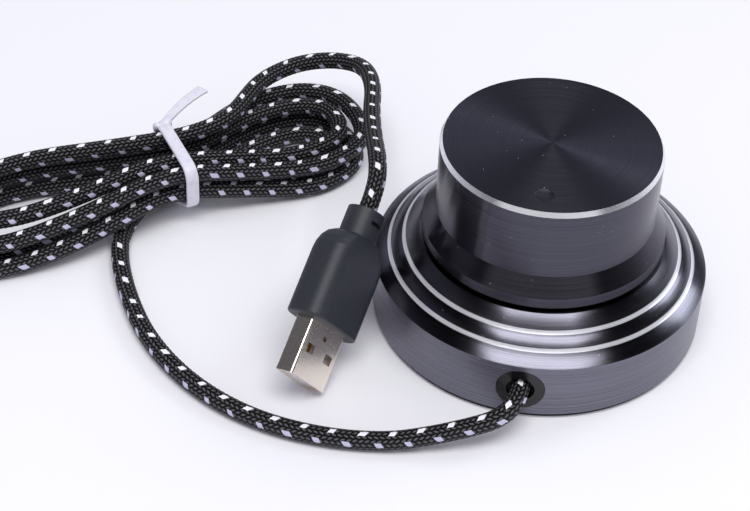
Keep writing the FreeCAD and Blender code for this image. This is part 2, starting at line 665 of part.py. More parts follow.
def cord_connector():
    """Wire housing plugged into the board header."""
    top = BOARD_UNDER - SEAT_GAP - HEADER_WALL - CONNECTOR_SIDE_GAP
    bottom = BOARD_UNDER - SEAT_GAP - HEADER_H + HEADER_WALL + CONNECTOR_SIDE_GAP
    width = HEADER_W - 2 * HEADER_WALL - 2 * CONNECTOR_SIDE_GAP
    return box(width, CONNECTOR_D, bottom, top, 0.0, connector_y())


def connector_y():
    return HEADER_Y - HEADER_D / 2 + CONNECTOR_INSET - CONNECTOR_D / 2


def cord_wires():
    """Four wires from the end of the cord to the connector, spread side by side."""
    start_y = CORD_INSIDE_END_Y
    end_y = connector_y() - CONNECTOR_D / 2
    end_z = BOARD_UNDER - SEAT_GAP - HEADER_H / 2
    wires = []
    for i in range(WIRE_COUNT):
        offset = i - (WIRE_COUNT - 1) / 2
        ends = (V(offset * WIRE_START_PITCH, start_y, CORD_Z), V(offset * WIRE_PITCH, end_y, end_z))
        squares = []
        for at in ends:
            corners = [at + V(x * WIRE_W / 2, 0, z * WIRE_W / 2) for x, z in ((1, 1), (-1, 1), (-1, -1), (1, -1))]
            squares.append(Part.makePolygon(corners + corners[:1]))
        wires.append(Part.makeLoft(squares, True, True))
    return group(wires)


def cord_gland():
    """Rubber grommet flush with the wall, with a wider mouth and a flange behind the wall."""
    along = V(0, 1, 0)
    plug = Part.makeCylinder(GLAND_R, BASE_WALL_T + CUT_OVERRUN, V(0, -BASE_R - CUT_OVERRUN, CORD_Z), along)
    plug = plug.common(cylinder(BASE_R, 0.0, CORD_Z + 2 * GLAND_R))
    flange = Part.makeCylinder(GLAND_INNER_R, 2 * GLAND_INNER_T, V(0, -INNER_R - SEAT_GAP, CORD_Z), along)
    rear = Part.makeBox(2 * BASE_R, BASE_R, 2 * BASE_R, V(-BASE_R, -INNER_R + GLAND_INNER_T, -BASE_R))
    flange = flange.common(cylinder(INNER_R - SEAT_GAP, PLATE_TOP, INNER_CONE_BOTTOM)).cut(rear)
    gland = plug.fuse(flange)
    mouth = Part.makeCylinder(GLAND_MOUTH_R, GLAND_MOUTH_DEPTH + CUT_OVERRUN, V(0, -BASE_R - CUT_OVERRUN, CORD_Z), along)
    bore = Part.makeCylinder(CORD_R + SEAT_GAP, BASE_R, V(0, CORD_EXIT_Y - CUT_OVERRUN, CORD_Z), along)
    return gland.cut(mouth).cut(bore).removeSplitter()


def cord_inside():
    """Cord from the gland's mouth to where its jacket ends inside the base."""
    return Part.makeCylinder(CORD_R, CORD_INSIDE_L, V(0, CORD_EXIT_Y, CORD_Z), V(0, 1, 0))


def cord_stop_tie():
    """Nylon tie pulled tight round the cord behind the gland, so that a pull can't reach the board."""
    start_y = -INNER_R + GLAND_INNER_T + STOP_GAP
    start = V(0, start_y, CORD_Z)
    ring = Part.makeCylinder(CORD_R + STOP_TIE_T, STOP_TIE_W, start, V(0, 1, 0))
    head = Part.makeBox(STOP_HEAD_W, STOP_TIE_W, STOP_HEAD_H,
                        V(-STOP_HEAD_W / 2, start_y, CORD_Z - CORD_R - STOP_HEAD_H))
    bore = Part.makeCylinder(CORD_R + SEAT_GAP, STOP_TIE_W, start, V(0, 1, 0))
    return ring.fuse(head).cut(bore).removeSplitter()


def rounded_route(points):
    """Wire of straight runs and tangent arcs through the points."""
    edges = []
    last = points[0]
    for before, at, after in zip(points, points[1:], points[2:]):
        come = (at - before).normalize()
        go = (after - at).normalize()
        run = min((at - before).Length, (after - at).Length)
        turn = math.acos(max(-1.0, min(1.0, come.dot(go))))
        reach = ROUND_SHARE * run
        start = at - come * reach
        end = at + go * reach
        radius = reach / math.tan(turn / 2)
        inward = (go - come).normalize()
        middle = at + inward * (radius / math.cos(turn / 2) - radius)
        edges.append(Part.LineSegment(last, start).toShape())
        edges.append(Part.Arc(start, middle, end).toShape())
        last = end
    edges.append(Part.LineSegment(last, points[-1]).toShape())
    return Part.Wire(edges)


def cord_along(route):
    """Cord swept along a wire, with flat sides between corners on its full radius."""
    first = route.OrderedEdges[0]
    start = first.valueAt(first.FirstParameter)
    along = first.tangentAt(first.FirstParameter)
    across = along.cross(UP).normalize()
    upward = across.cross(along)
    corners = []
    for i in range(CORD_SIDES):
        angle = 2 * math.pi * (i + 1 / 2) / CORD_SIDES
        corners.append(start + across * (CORD_R * math.cos(angle)) + upward * (CORD_R * math.sin(angle)))
    profile = Part.makePolygon(corners + corners[:1])
    return route.makePipeShell([profile], True, False)


def cord_section_area():
    return CORD_SIDES * CORD_R ** 2 * math.sin(2 * math.pi / CORD_SIDES) / 2


def smooth_step(x):
    x = max(0.0, min(1.0, x))
    return x * x * (3 - 2 * x)


def hank_point(angle):
    """Centreline of the hank at an angle wound from its start, in radians.

    The lane counts in from the outer loop to the inner one: it runs out to 0 and in again at one
    lane a turn. Each loop is a bow tie, drawn in at the waist. The tube climbs a layer along a run
    where the lanes turn back, and once more for its last half turn, and the upper layers lie
    a little further in than the first.
    """
    phase = HANK_START + angle
    turns = angle / (2 * math.pi)
    lane = math.hypot(turns - HANK_LOOPS / 2, HANK_FOLD)
    swing = math.sin(phase)
    side = math.cos(phase)
    half_l = HANK_HALF_L - HANK_L_STEP * lane
    u = HANK_SHIFT + half_l * swing * (1 + HANK_FULLNESS_SHARE * side * side)
    waist = math.exp(-(u / HANK_WAIST_L) ** 2)
    right = (1 + swing) / 2
    climb = smooth_step((angle - HANK_LOOPS * math.pi) / (2 * HANK_CLIMB) + 1 / 2)
    last_half_turn = (2 * HANK_LOOPS - 1) * math.pi + HANK_CLIMB_LATE
    top_turn = smooth_step((angle - last_half_turn) / (2 * HANK_CLIMB) + 1 / 2)
    layer = climb + top_turn
    nested = lane + HANK_NEST_LANES * climb
    half_w = (1 - right) * (HANK_LEFT_HALF_W - HANK_LEFT_STEP * nested)
    half_w += right * (HANK_RIGHT_HALF_W - HANK_RIGHT_STEP * nested)
    half_w += HANK_TOP_WIDENING * top_turn
    waist_w = HANK_WAIST_PITCH * (HANK_WAIST_LANES - lane)
    bend = HANK_BEND + HANK_BEND_TILT * swing + HANK_LAYER_BEND * layer * right
    waist_bend = HANK_WAIST_BEND + HANK_TOP_BEND * top_turn
    v = side * (half_w * (1 - waist) + waist_w * waist) + bend * (1 - waist) + waist_bend * waist
    z = CORD_R + HANK_FLOOR_GAP + HANK_LAYER_PITCH * layer + HANK_TIE_LIFT * waist
    if side < 0 and abs(u - HANK_BRIDGE_U) < HANK_BRIDGE_L:
        z += HANK_BRIDGE_H * (1 + math.cos(math.pi * (u - HANK_BRIDGE_U) / HANK_BRIDGE_L)) / 2
    a = math.radians(HANK_TURN)
    return V(HANK_X + u * math.cos(a) - v * math.sin(a), HANK_Y + u * math.sin(a) + v * math.cos(a), z)


def hank_heading(angle):
    small = 1e-4
    return (hank_point(angle + small) - hank_point(angle - small)).normalize()


def arc_from(start, heading, end):
    """Arc that leaves start along heading and reaches end."""
    chord = end - start
    off = chord - heading * chord.dot(heading)
    if off.Length < 1e-5 * chord.Length:
        return Part.LineSegment(start, end).toShape()
    side = off.normalize()
    radius = chord.dot(chord) / (2 * chord.dot(side))
    centre = start + side * radius
    middle = centre + ((start + end) / 2 - centre).normalize() * radius
    return Part.Arc(start, middle, end).toShape()


def biarc(start, go, end, come):
    """Two tangent arcs from start, headed go, to end, headed come."""
    chord = end - start
    both = go + come
    spread = 2 * (1 - go.dot(come))
    lean = chord.dot(both)
    if spread < 1e-9:
        reach = chord.dot(chord) / (2 * lean)
    else:
        reach = (-lean + math.sqrt(lean * lean + spread * chord.dot(chord))) / spread
    joint = (start + end + (go - come) * reach) / 2
    first = arc_from(start, go, joint)
    second = arc_from(end, come * -1, joint)
    return [first, second]


def hank_end_angle():
    return 2 * math.pi * HANK_LOOPS


def hank_wire():
    """Centreline of the wound part as tangent arcs, with a straight run at each end."""
    spans = HANK_SPANS_PER_LOOP * HANK_LOOPS
    step = hank_end_angle() / spans
    edges = []
    for i in range(spans):
        edges += biarc(hank_point(i * step), hank_heading(i * step), hank_point((i + 1) * step),
                       hank_heading((i + 1) * step))
    start = hank_point(0.0)
    go = hank_heading(0.0)
    end = hank_point(hank_end_angle())
    come = hank_heading(hank_end_angle())
    first = Part.LineSegment(start - go * (2 * CORD_R), start).toShape()
    last = Part.LineSegment(end, end + come * (2 * CORD_R)).toShape()
    return Part.Wire([first] + edges + [last])


def cord_hank():
    """The wound part of the cord, as one unbroken tube."""
    return cord_along(hank_wire())


def hank_ends():
    """End points of the hank's tube, with the headings there."""
    go = hank_heading(0.0)
    come = hank_heading(hank_end_angle())
    return (hank_point(0.0) - go * (2 * CORD_R), go, hank_point(hank_end_angle()) + come * (2 * CORD_R), come)


def hank_least_gap():
    """Least surface distance of the hank's tube to itself, leaving out what lies next along it."""
    wire = hank_wire()
    points = wire.discretize(HANK_MEASURE_POINTS)
    near = math.ceil(HANK_NEAR_SHARE * CORD_R / wire.Length * HANK_MEASURE_POINTS)
    least = wire.Length
    for i, here in enumerate(points):
        for there in points[i + near:]:
            least = min(least, (here - there).Length)
    return least - 2 * CORD_R


def plug_placement():
    turn = FreeCAD.Rotation(UP, PLUG_AXIS_AZIMUTH - 90.0)
    rise = FreeCAD.Rotation(V(1, 0, 0), PLUG_AXIS_RISE)
    roll = FreeCAD.Rotation(V(0, 1, 0), PLUG_ROLL)
    return FreeCAD.Placement(PLUG_TIP, turn.multiply(rise).multiply(roll))


def placed_plug(shape):
    moved = shape.copy()
    moved.Placement = plug_placement().multiply(moved.Placement)
    return moved


def plug_axis():
    return plug_placement().Rotation.multVec(V(0, 1, 0))


def plug_end():
    return plug_placement().multVec(V(0, PLUG_L, 0))


def route_points(points):
    return [V(*p) for p in points]


def lead_route():
    """Cord from the gland to the start of the hank."""
    start, go = hank_ends()[:2]
    points = [V(0, CORD_EXIT_Y, CORD_Z)] + route_points(LEAD_POINTS)
    return points + [start - go * HANK_LEAD_RUN, start]


def tail_route():
    """Cord from the end of the hank to the plug's neck."""
    end, come = hank_ends()[2:]
    points = [end, end + come * HANK_TAIL_RUN] + route_points(TAIL_POINTS)
    return points + [plug_end() + plug_axis() * PLUG_TAIL_RUN, plug_end()]


def route_radii(points):
    radii = []
    for before, at, after in zip(points, points[1:], points[2:]):
        come = (at - before).normalize()
        go = (after - at).normalize()
        run = min((at - before).Length, (after - at).Length)
        turn = math.acos(max(-1.0, min(1.0, come.dot(go))))
        radii.append(round(ROUND_SHARE * run / math.tan(turn / 2), 1))
    return radii


def rounded_bar(width, height, corner, start_y, length):
    """Bar along Y with a rounded rectangle as its section."""
    x = width / 2
    z = height / 2
    inner = corner * (1 - math.sqrt(1 / 2))
    edges = []
    for sx, sz in ((1, 1), (-1, 1), (-1, -1), (1, -1)):
        if sx * sz > 0:
            a = V(sx * x, start_y, sz * (z - corner))
            b = V(sx * (x - corner), start_y, sz * z)
        else:
            a = V(sx * (x - corner), start_y, sz * z)
            b = V(sx * x, start_y, sz * (z - corner))
        m = V(sx * (x - inner), start_y, sz * (z - inner))
        edges.append((a, m, b))
    parts = []
    for i, (a, m, b) in enumerate(edges):
        parts.append(Part.Arc(a, m, b).toShape())
        parts.append(Part.LineSegment(b, edges[(i + 1) % 4][0]).toShape())
    return Part.Face(Part.Wire(parts)).extrude(V(0, length, 0))


def plug_shell():
    """Folded steel shell with two latch holes in each wide face and a small stop."""
    length = SHELL_SHOWN_L + SHELL_HELD_L
    outer = rounded_bar(SHELL_W, SHELL_H, SHELL_CORNER_R, 0.0, length)
    inner = rounded_bar(SHELL_W - 2 * SHELL_T, SHELL_H - 2 * SHELL_T, SHELL_CORNER_R - SHELL_T,
                        -CUT_OVERRUN, length + 2 * CUT_OVERRUN)
    shell = outer.cut(inner)
    for side in (-1, 1):
        hole = Part.makeBox(SHELL_HOLE_W, SHELL_HOLE_L, 2 * SHELL_H,
                            V(side * SHELL_HOLE_X - SHELL_HOLE_W / 2, SHELL_HOLE_Y - SHELL_HOLE_L / 2, -SHELL_H))
        shell = shell.cut(hole)
    stop = Part.makeCylinder(SHELL_STOP_R, 2 * SHELL_H, V(0, SHELL_STOP_Y, 0), UP)
    return shell.cut(stop)


def plug_tongue():
    """White insulator that fills the lower half of the shell and carries the contacts."""
    width = SHELL_W - 2 * SHELL_T - 2 * SEAT_GAP
    bottom = -SHELL_H / 2 + SHELL_T + SEAT_GAP
    length = SHELL_SHOWN_L + SHELL_HELD_L - TONGUE_SETBACK
    tongue = Part.makeBox(width, length, TONGUE_T, V(-width / 2, TONGUE_SETBACK, bottom))
    height = SHELL_H - 2 * SHELL_T - 2 * SEAT_GAP
    block = Part.makeBox(width, SHELL_HELD_L - TONGUE_SETBACK, height, V(-width / 2, SHELL_SHOWN_L, bottom))
    inside = rounded_bar(width, height, SHELL_CORNER_R - SHELL_T, 0.0, SHELL_SHOWN_L + SHELL_HELD_L)
    return tongue.fuse(block).common(inside).removeSplitter()


def plug_contacts():
    """Four gold strips on the tongue."""
    bottom = -SHELL_H / 2 + SHELL_T + SEAT_GAP + TONGUE_T
    strips = []
    for i in range(CONTACT_COUNT):
        x = (i - (CONTACT_COUNT - 1) / 2) * CONTACT_PITCH
        strips.append(Part.makeBox(CONTACT_W, CONTACT_L, CONTACT_T,
                                   V(x - CONTACT_W / 2, SHELL_SHOWN_L - CONTACT_L, bottom)))
    return group(strips)


def section_wire(width, height, corner, y):
    """Closed wire of four lines and four arcs, centred on the Y axis."""
    bar = rounded_bar(width, height, corner, y, CUT_OVERRUN)
    face = min(bar.Faces, key=lambda f: abs(f.CenterOfMass.y - y))
    return face.OuterWire


def plug_overmould():
    """Soft grip: rounded bar, shoulders drawn in to a round neck, and slots in the neck."""
    start = SHELL_SHOWN_L
    straight_end = start + MOULD_STRAIGHT_L
    shoulder_end = straight_end + MOULD_SHOULDER_L
    bar = rounded_bar(MOULD_W, MOULD_H, MOULD_CORNER_R, start, MOULD_STRAIGHT_L)
    front = [e for e in bar.Edges if abs(e.CenterOfMass.y - start) < SEAT_GAP]
    bar = bar.makeFillet(MOULD_EDGE_R, front)
    neck = Part.makeCylinder(NECK_R, NECK_L + SHELL_T, V(0, shoulder_end - SHELL_T, 0), V(0, 1, 0))
    shoulder = shoulder_solid(straight_end, shoulder_end)
    mould = bar.fuse(shoulder).fuse(neck)
    held = rounded_bar(SHELL_W + 2 * SEAT_GAP, SHELL_H + 2 * SEAT_GAP, SHELL_CORNER_R, start - CUT_OVERRUN,
                       SHELL_HELD_L + CUT_OVERRUN + SEAT_GAP)
    slot_y = start + MOULD_L - NECK_SLOT_SETBACK
    for side in (-1, 1):
        slot = Part.makeBox(NECK_SLOT_W, NECK_SLOT_T, NECK_SLOT_DEPTH + NECK_R,
                            V(-NECK_SLOT_W / 2, slot_y - NECK_SLOT_T / 2,
                              NECK_R - NECK_SLOT_DEPTH if side > 0 else -2 * NECK_R))
        mould = mould.cut(slot)
    return mould.cut(held).removeSplitter()


def shoulder_solid(start, end):
    """Shoulder that swings in from the bar's width to the neck's, along a quarter ellipse."""
    length = end - start
    rise = MOULD_W / 2 - NECK_R
    wires = []
    for i in range(SHOULDER_SECTION_COUNT + 1):
        quarter = math.pi / 2 * i / SHOULDER_SECTION_COUNT
        share = math.sin(quarter)
        drop = 1 - math.cos(quarter)
        y = start + length * share
        width = MOULD_W - 2 * rise * drop
        height = MOULD_H - (MOULD_H - 2 * NECK_R) * drop
        corner = MOULD_CORNER_R + (NECK_R * NECK_SECTION_SHARE - MOULD_CORNER_R) * drop
        wires.append(section_wire(width, height, corner, y))
    return Part.makeLoft(wires, True, True)


def tie_outline_points():
    """Places of the strands in the tie's plane, as (v, z) pairs."""
    a = math.radians(HANK_TURN)
    places = []
    go = hank_heading(0.0)
    strands = [hank_point(hank_end_angle() * i / HANK_MEASURE_POINTS) for i in range(HANK_MEASURE_POINTS)]
    strands += [hank_point(0.0) - go * (HANK_LEAD_RUN * i / TIE_LEAD_SAMPLES) for i in range(TIE_LEAD_SAMPLES)]
    for here in strands:
        dx = here.x - HANK_X
        dy = here.y - HANK_Y
        u = dx * math.cos(a) + dy * math.sin(a)
        if abs(u) < TIE_W:
            places.append((-dx * math.sin(a) + dy * math.cos(a), here.z))
    return places


def hull(points):
    """Convex outline of the points, in order."""
    points = sorted(set(points))

    def chain(ordered):
        kept = []
        for p in ordered:
            while len(kept) > 1:
                (ax, ay), (bx, by) = kept[-2], kept[-1]
                if (bx - ax) * (p[1] - ay) - (by - ay) * (p[0] - ax) > 0:
                    break
                kept.pop()
            kept.append(p)
        return kept[:-1]
    return chain(points) + chain(points[::-1])


def tie_ring_wire(outline, offset):
    """Outline grown by an offset, as straight runs and corner arcs in the tie's plane."""
    count = len(outline)
    edges = []
    corners = []
    for i in range(count):
        before = V(outline[i - 1][0], 0, outline[i - 1][1])
        at = V(outline[i][0], 0, outline[i][1])
        after = V(outline[(i + 1) % count][0], 0, outline[(i + 1) % count][1])
        come = (at - before).normalize()
        go = (after - at).normalize()
        out_a = V(come.z, 0, -come.x)
        out_b = V(go.z, 0, -go.x)
        middle = (out_a + out_b).normalize()
        corners.append((at + out_a * offset, at + middle * offset, at + out_b * offset))
    for i, (a, m, b) in enumerate(corners):
        edges.append(Part.Arc(a, m, b).toShape())
        edges.append(Part.LineSegment(b, corners[(i + 1) % count][0]).toShape())
    return Part.Wire(edges)


def tie_corner_strands():
    """Outermost strands at the tie, thinned to one corner each."""
    kept = []
    for p in hull(tie_outline_points()):
        if all(math.hypot(p[0] - q[0], p[1] - q[1]) > TIE_CORNER_L for q in kept):
            kept.append(p)
    return hull(kept)


def cord_tie():
    """White plastic-covered twist tie: a band round the waist, its twist and one free end."""
    outline = tie_corner_strands()
    inner = Part.Face(tie_ring_wire(outline, CORD_R + TIE_GAP))
    outer = Part.Face(tie_ring_wire(outline, CORD_R + TIE_GAP + TIE_T))
    band = outer.cut(inner).extrude(V(0, TIE_W, 0))
    band.translate(V(0, -TIE_W / 2, 0))
    far = max(outline, key=lambda p: p[0])
    high = max(outline, key=lambda p: p[0] + p[1])
    slope = V(far[0] - high[0], 0, far[1] - high[1]).normalize()
    outward = V(-slope.z, 0, slope.x) * (CORD_R + TIE_GAP + TIE_T)
    twist_at = V((far[0] + high[0]) / 2, 0, (far[1] + high[1]) / 2) + outward
    twist = Part.makeCylinder(TIE_TWIST_R, TIE_TWIST_L, twist_at - V(0, TIE_TWIST_L / 2, 0), V(0, 1, 0))
    end = Part.makeBox(TIE_END_L, TIE_END_W, TIE_T, V(0, -TIE_END_W / 2, -TIE_T / 2))
    end.rotate(V(0, 0, 0), V(0, 1, 0), -TIE_END_RISE)
    end.rotate(V(0, 0, 0), UP, TIE_END_TURN)
    end.translate(twist_at)
    tie = band.fuse(twist).fuse(end)
    tie.rotate(V(0, 0, 0), UP, 90.0)
    tie.rotate(V(0, 0, 0), UP, HANK_TURN)
    tie.translate(V(HANK_X, HANK_Y, 0))
    return tie


def report_cord(name, points, solid):
    """Print a stretch's bend radii and compare its volume with its section times its length."""
    length = rounded_route(points).Length
    print(name, "length", round(length, 1), "radii", route_radii(points))
    print(name, "volume share", round(solid.Volume / (cord_section_area() * length), 4))


def main():
    os.makedirs("parts", exist_ok=True)
    makers = (base_shell, base_plate, plate_screws, foot_pad, knob_cap, knob_hub, encoder_shaft, shaft_clip,
              encoder_bushing, encoder_washer, encoder_nut, encoder_housing, encoder_bracket, encoder_rotor,
              detent_spring, switch_base, switch_dome, switch_plunger, encoder_terminals, circuit_board,
              board_screws, controller_chip, crystal, board_header, cord_connector, cord_wires, cord_gland,
              cord_inside, cord_stop_tie, cord_tie)
    for maker in makers:
        save(maker(), maker.__name__)
    for maker in (plug_shell, plug_tongue, plug_contacts, plug_overmould):
        save(placed_plug(maker()), maker.__name__)
    lead = cord_along(rounded_route(lead_route()))
    tail = cord_along(rounded_route(tail_route()))
    hank = cord_hank()
    save(lead, "cord_lead")
    save(tail, "cord_tail")
    save(hank, "cord_hank")
    report_cord("cord_lead", lead_route(), lead)
    report_cord("cord_tail", tail_route(), tail)
    print("cord_hank volume", round(hank.Volume, 1), "least gap", round(hank_least_gap(), 2))


main()
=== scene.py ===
import math
import bmesh
import bpy
import numpy as np
from mathutils import Matrix


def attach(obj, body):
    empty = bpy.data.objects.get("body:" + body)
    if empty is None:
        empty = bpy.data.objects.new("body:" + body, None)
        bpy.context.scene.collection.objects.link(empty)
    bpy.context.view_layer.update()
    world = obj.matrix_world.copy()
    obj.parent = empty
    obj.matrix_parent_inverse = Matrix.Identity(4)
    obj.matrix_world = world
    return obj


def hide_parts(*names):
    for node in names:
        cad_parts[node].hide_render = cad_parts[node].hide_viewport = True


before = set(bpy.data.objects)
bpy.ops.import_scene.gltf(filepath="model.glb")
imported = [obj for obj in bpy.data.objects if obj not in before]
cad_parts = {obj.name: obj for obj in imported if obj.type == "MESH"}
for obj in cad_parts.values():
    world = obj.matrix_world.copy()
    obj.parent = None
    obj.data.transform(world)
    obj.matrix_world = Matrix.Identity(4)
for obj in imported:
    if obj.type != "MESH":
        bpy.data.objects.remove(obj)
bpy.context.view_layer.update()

MM = 0.001

# Camera and studio.
# The object stands on a white table in a dark room with a low white far wall. A softbox hangs over
# its front, a second one stands behind it on the right, and the bright chamfer mirrors a white card.
scene = bpy.context.scene
scene.view_settings.view_transform = "Standard"
right = (0.98638, 0.16151, 0.03110)
up = (-0.12921, 0.64389, 0.75413)
forward = (-0.10177, 0.74788, -0.65599)
eye = (0.006846, -0.308775, 0.278110)
lens = bpy.data.cameras.new("camera")
lens.lens = 91.79
lens.sensor_width = 36.0
lens.clip_start = 0.01
camera = bpy.data.objects.new("camera", lens)
camera.matrix_world = Matrix([[right[i], up[i], -forward[i], eye[i]] for i in range(3)] + [[0, 0, 0, 1]])
scene.collection.objects.link(camera)
scene.camera = camera


def linear(code):
    """Linear colour with alpha 1 of an sRGB hex code such as '#55545d'."""
    share = np.array([int(code[i:i + 2], 16) for i in (1, 3, 5)]) / 255
    value = np.where(share <= 0.04045, share / 12.92, ((share + 0.055) / 1.055) ** 2.4)
    return (*value.tolist(), 1.0)


def add(tree, kind, links=None, **settings):
    """A node with its settings, and its inputs linked to sockets or set to values."""
    made = tree.nodes.new(kind)
    for name, value in settings.items():
        setattr(made, name, value)
    for name, value in (links or {}).items():
        socket = made.inputs[name]
        if isinstance(value, bpy.types.NodeSocket):
            tree.links.new(value, socket)
        else:
            socket.default_value = value
    return made


def maths(tree, operation, *values, clamp=False):
    """Output of a maths node fed with sockets or numbers."""
    node = add(tree, "ShaderNodeMath", dict(enumerate(values)), operation=operation, use_clamp=clamp)
    return node.outputs[0]


def blend(tree, share, first, second):
    """Colour that goes from first to second with the share; each is a hex code or a socket."""
    ends = [linear(end) if isinstance(end, str) else end for end in (first, second)]
    node = add(tree, "ShaderNodeMix", {"Factor": share, "A": ends[0], "B": ends[1]}, data_type="RGBA")
    return node.outputs["Result"]


def new_material(name):
    """An empty node material and its tree."""
    material = bpy.data.materials.new(name)
    material.use_nodes = True
    material.node_tree.nodes.clear()
    return material, material.node_tree


def finish_with(tree, inputs):
    """Ends a material with a principled shader that has the inputs."""
    shader = add(tree, "ShaderNodeBsdfPrincipled", inputs)
    add(tree, "ShaderNodeOutputMaterial", {"Surface": shader.outputs[0]})


world = bpy.data.worlds.new("studio")
world.use_nodes = True
sky = world.node_tree
sky.nodes.clear()
direction = add(sky, "ShaderNodeTexCoord")
toward = add(sky, "ShaderNodeSeparateXYZ", {"Vector": direction.outputs["Generated"]})


def patch(behind, colour, **limits):
    """The room's colour with a soft-edged patch over it.

    For each axis named, limits gives the patch's lowest and highest part of the direction and the
    width over which it fades out inside them.
    """
    share = 1.0
    for axis, (low, high, fade) in limits.items():
        for edge, inner in ((low, low + fade), (high, high - fade)):
            part = add(sky, "ShaderNodeMapRange", {
                "Value": toward.outputs[axis], "From Min": edge, "From Max": inner})
            share = maths(sky, "MULTIPLY", share, part.outputs[0])
    return blend(sky, share, behind, colour)


room = patch("#0e0e11", "#b4b6c4", Y=(0.45, 1.2, 0.2), Z=(0.36, 0.80, 0.16))
room = patch(room, "#5c5c64", X=(-1.2, -0.50, 0.2), Y=(-0.60, 0.45, 0.25), Z=(0.10, 0.80, 0.2))
room = patch(room, "#ffffff", X=(-0.72, 0.85, 0.14), Y=(-1.2, -0.40, 0.2), Z=(-0.6, 0.37, 0.05))
room = patch(room, "#fbfbff", Z=(-2.0, 0.10, 0.03))
ray = add(sky, "ShaderNodeLightPath")
room_light = add(sky, "ShaderNodeBackground", {"Color": room, "Strength": 1.0})
soft_light = add(sky, "ShaderNodeBackground", {"Color": linear("#e9e7f6"), "Strength": 0.52})
either = add(sky, "ShaderNodeMixShader", {
    "Fac": ray.outputs["Is Diffuse Ray"], 1: room_light.outputs[0], 2: soft_light.outputs[0]})
add(sky, "ShaderNodeOutputWorld", {"Surface": either.outputs[0]})
scene.world = world


def softbox(name, centre, target, size, watts, colour):
    """Rectangular area lamp at centre, turned to face target."""
    lamp = bpy.data.lights.new(name, "AREA")
    lamp.shape = "RECTANGLE"
    lamp.size, lamp.size_y = size
    lamp.energy = watts
    lamp.color = linear(colour)[:3]
    holder = bpy.data.objects.new(name, lamp)
    z = np.array(centre, float) - np.array(target, float)
    z /= np.linalg.norm(z)
    x = np.cross((0, 1, 0), z)
    x /= np.linalg.norm(x)
    y = np.cross(z, x)
    holder.matrix_world = Matrix([[x[i], y[i], z[i], centre[i]] for i in range(3)] + [[0, 0, 0, 1]])
    scene.collection.objects.link(holder)


softbox("overhead_softbox", (0.11, -0.32, 1.0), (0.11, -0.32, 0.0), (0.80, 0.52), 6.9, "#ffffff")
softbox("right_softbox", (0.80, 0.72, 0.85), (0.0, 0.0, 0.0), (0.5, 0.42), 3.3, "#f6fbff")

TABLE_HALF_W = 4.0
corners = [(-TABLE_HALF_W, -TABLE_HALF_W, 0), (TABLE_HALF_W, -TABLE_HALF_W, 0),
           (TABLE_HALF_W, TABLE_HALF_W, 0), (-TABLE_HALF_W, TABLE_HALF_W, 0)]
table_mesh = bpy.data.meshes.new("table")
table_mesh.from_pydata(corners, [], [(0, 1, 2, 3)])
table = bpy.data.objects.new("table", table_mesh)
scene.collection.objects.link(table)
paper, tree = new_material("white_paper_backdrop")
finish_with(tree, {"Base Color": linear("#fafafd"), "Roughness": 0.9, "Specular IOR Level": 0.1})
table_mesh.materials.append(paper)

# Base housing.
# One piece of aluminium, turned on a lathe and anodised black, with two V-grooves cut bright through
# the black afterwards. The knob's bearing and the board hang from its sunk deck.
BASE_R = 35.0
BASE_BOTTOM = 0.8
BASE_EDGE_CHAMFER = 0.4
BASE_ROOM_R = 22.0
WALL_TOP = 13.8
CONE_TOP = 20.37
CONE_INNER_R = 25.85
DECK_TOP = 19.6
DECK_T = 2.4
DECK_HOLE_R = 5.6
GROOVES = (29.0, 32.0)
GROOVE_HALF_W = 0.30
GROOVE_DEPTH = 0.16
GROOVE_BRIGHT_OUT = 0.38
GROOVE_BRIGHT_IN = 0.34
GLAND_Z = 7.6
GLAND_R = 5.0
GLAND_GAP = 0.02
GLAND_HOLE_START = -40.0
GLAND_HOLE_L = 12.0
GLAND_HOLE_STEPS = 96
TURN_STEPS = 360
SMOOTH_ANGLE = 30.0
MERGE_DISTANCE = 0.002


def surface(name, grid, closed_u=True, cap_ends=False):
    """Mesh object of a grid of points, shape (rows, columns, 3) in millimetres.

    Rows run along the piece. Columns run round it and close on themselves unless closed_u is off.
    """
    rows, columns = grid.shape[:2]
    across = columns if closed_u else columns - 1
    i, j = np.meshgrid(np.arange(rows - 1), np.arange(across), indexing="ij")
    k = (j + 1) % columns
    quads = np.stack([i * columns + j, i * columns + k, (i + 1) * columns + k, (i + 1) * columns + j], -1)
    faces = quads.reshape(-1, 4).tolist()
    if cap_ends:
        faces.append(list(range(columns))[::-1])
        faces.append([(rows - 1) * columns + c for c in range(columns)])
    mesh = bpy.data.meshes.new(name)
    mesh.from_pydata((grid.reshape(-1, 3) * MM).tolist(), [], faces)
    piece = bpy.data.objects.new(name, mesh)
    scene.collection.objects.link(piece)
    return piece


def tidy(piece, angle=SMOOTH_ANGLE):
    """Merges doubles, points the faces outward and shades smooth up to an edge angle."""
    work = bmesh.new()
    work.from_mesh(piece.data)
    bmesh.ops.remove_doubles(work, verts=work.verts, dist=MERGE_DISTANCE * MM)
    bmesh.ops.recalc_face_normals(work, faces=work.faces)
    work.to_mesh(piece.data)
    work.free()
    piece.data.shade_smooth()
    piece.data.set_sharp_from_angle(angle=math.radians(angle))


def turned(name, outline, steps=TURN_STEPS):
    """Closed solid of revolution: (radius, height) corners swept round the Z axis."""
    r, z = np.array(outline, float).T
    a = np.arange(steps) * 2 * np.pi / steps
    grid = np.stack([np.outer(r, np.cos(a)), np.outer(r, np.sin(a)), np.repeat(z[:, None], steps, 1)], -1)
    piece = surface(name, np.concatenate([grid, grid[:1]]))
    tidy(piece)
    return piece


def apply_modifiers(piece):
    """Bakes the piece's modifiers into its mesh."""
    bpy.context.view_layer.update()
    baked = bpy.data.meshes.new_from_object(piece.evaluated_get(bpy.context.evaluated_depsgraph_get()))
    piece.modifiers.clear()
    old = piece.data
    piece.data = baked
    bpy.data.meshes.remove(old)


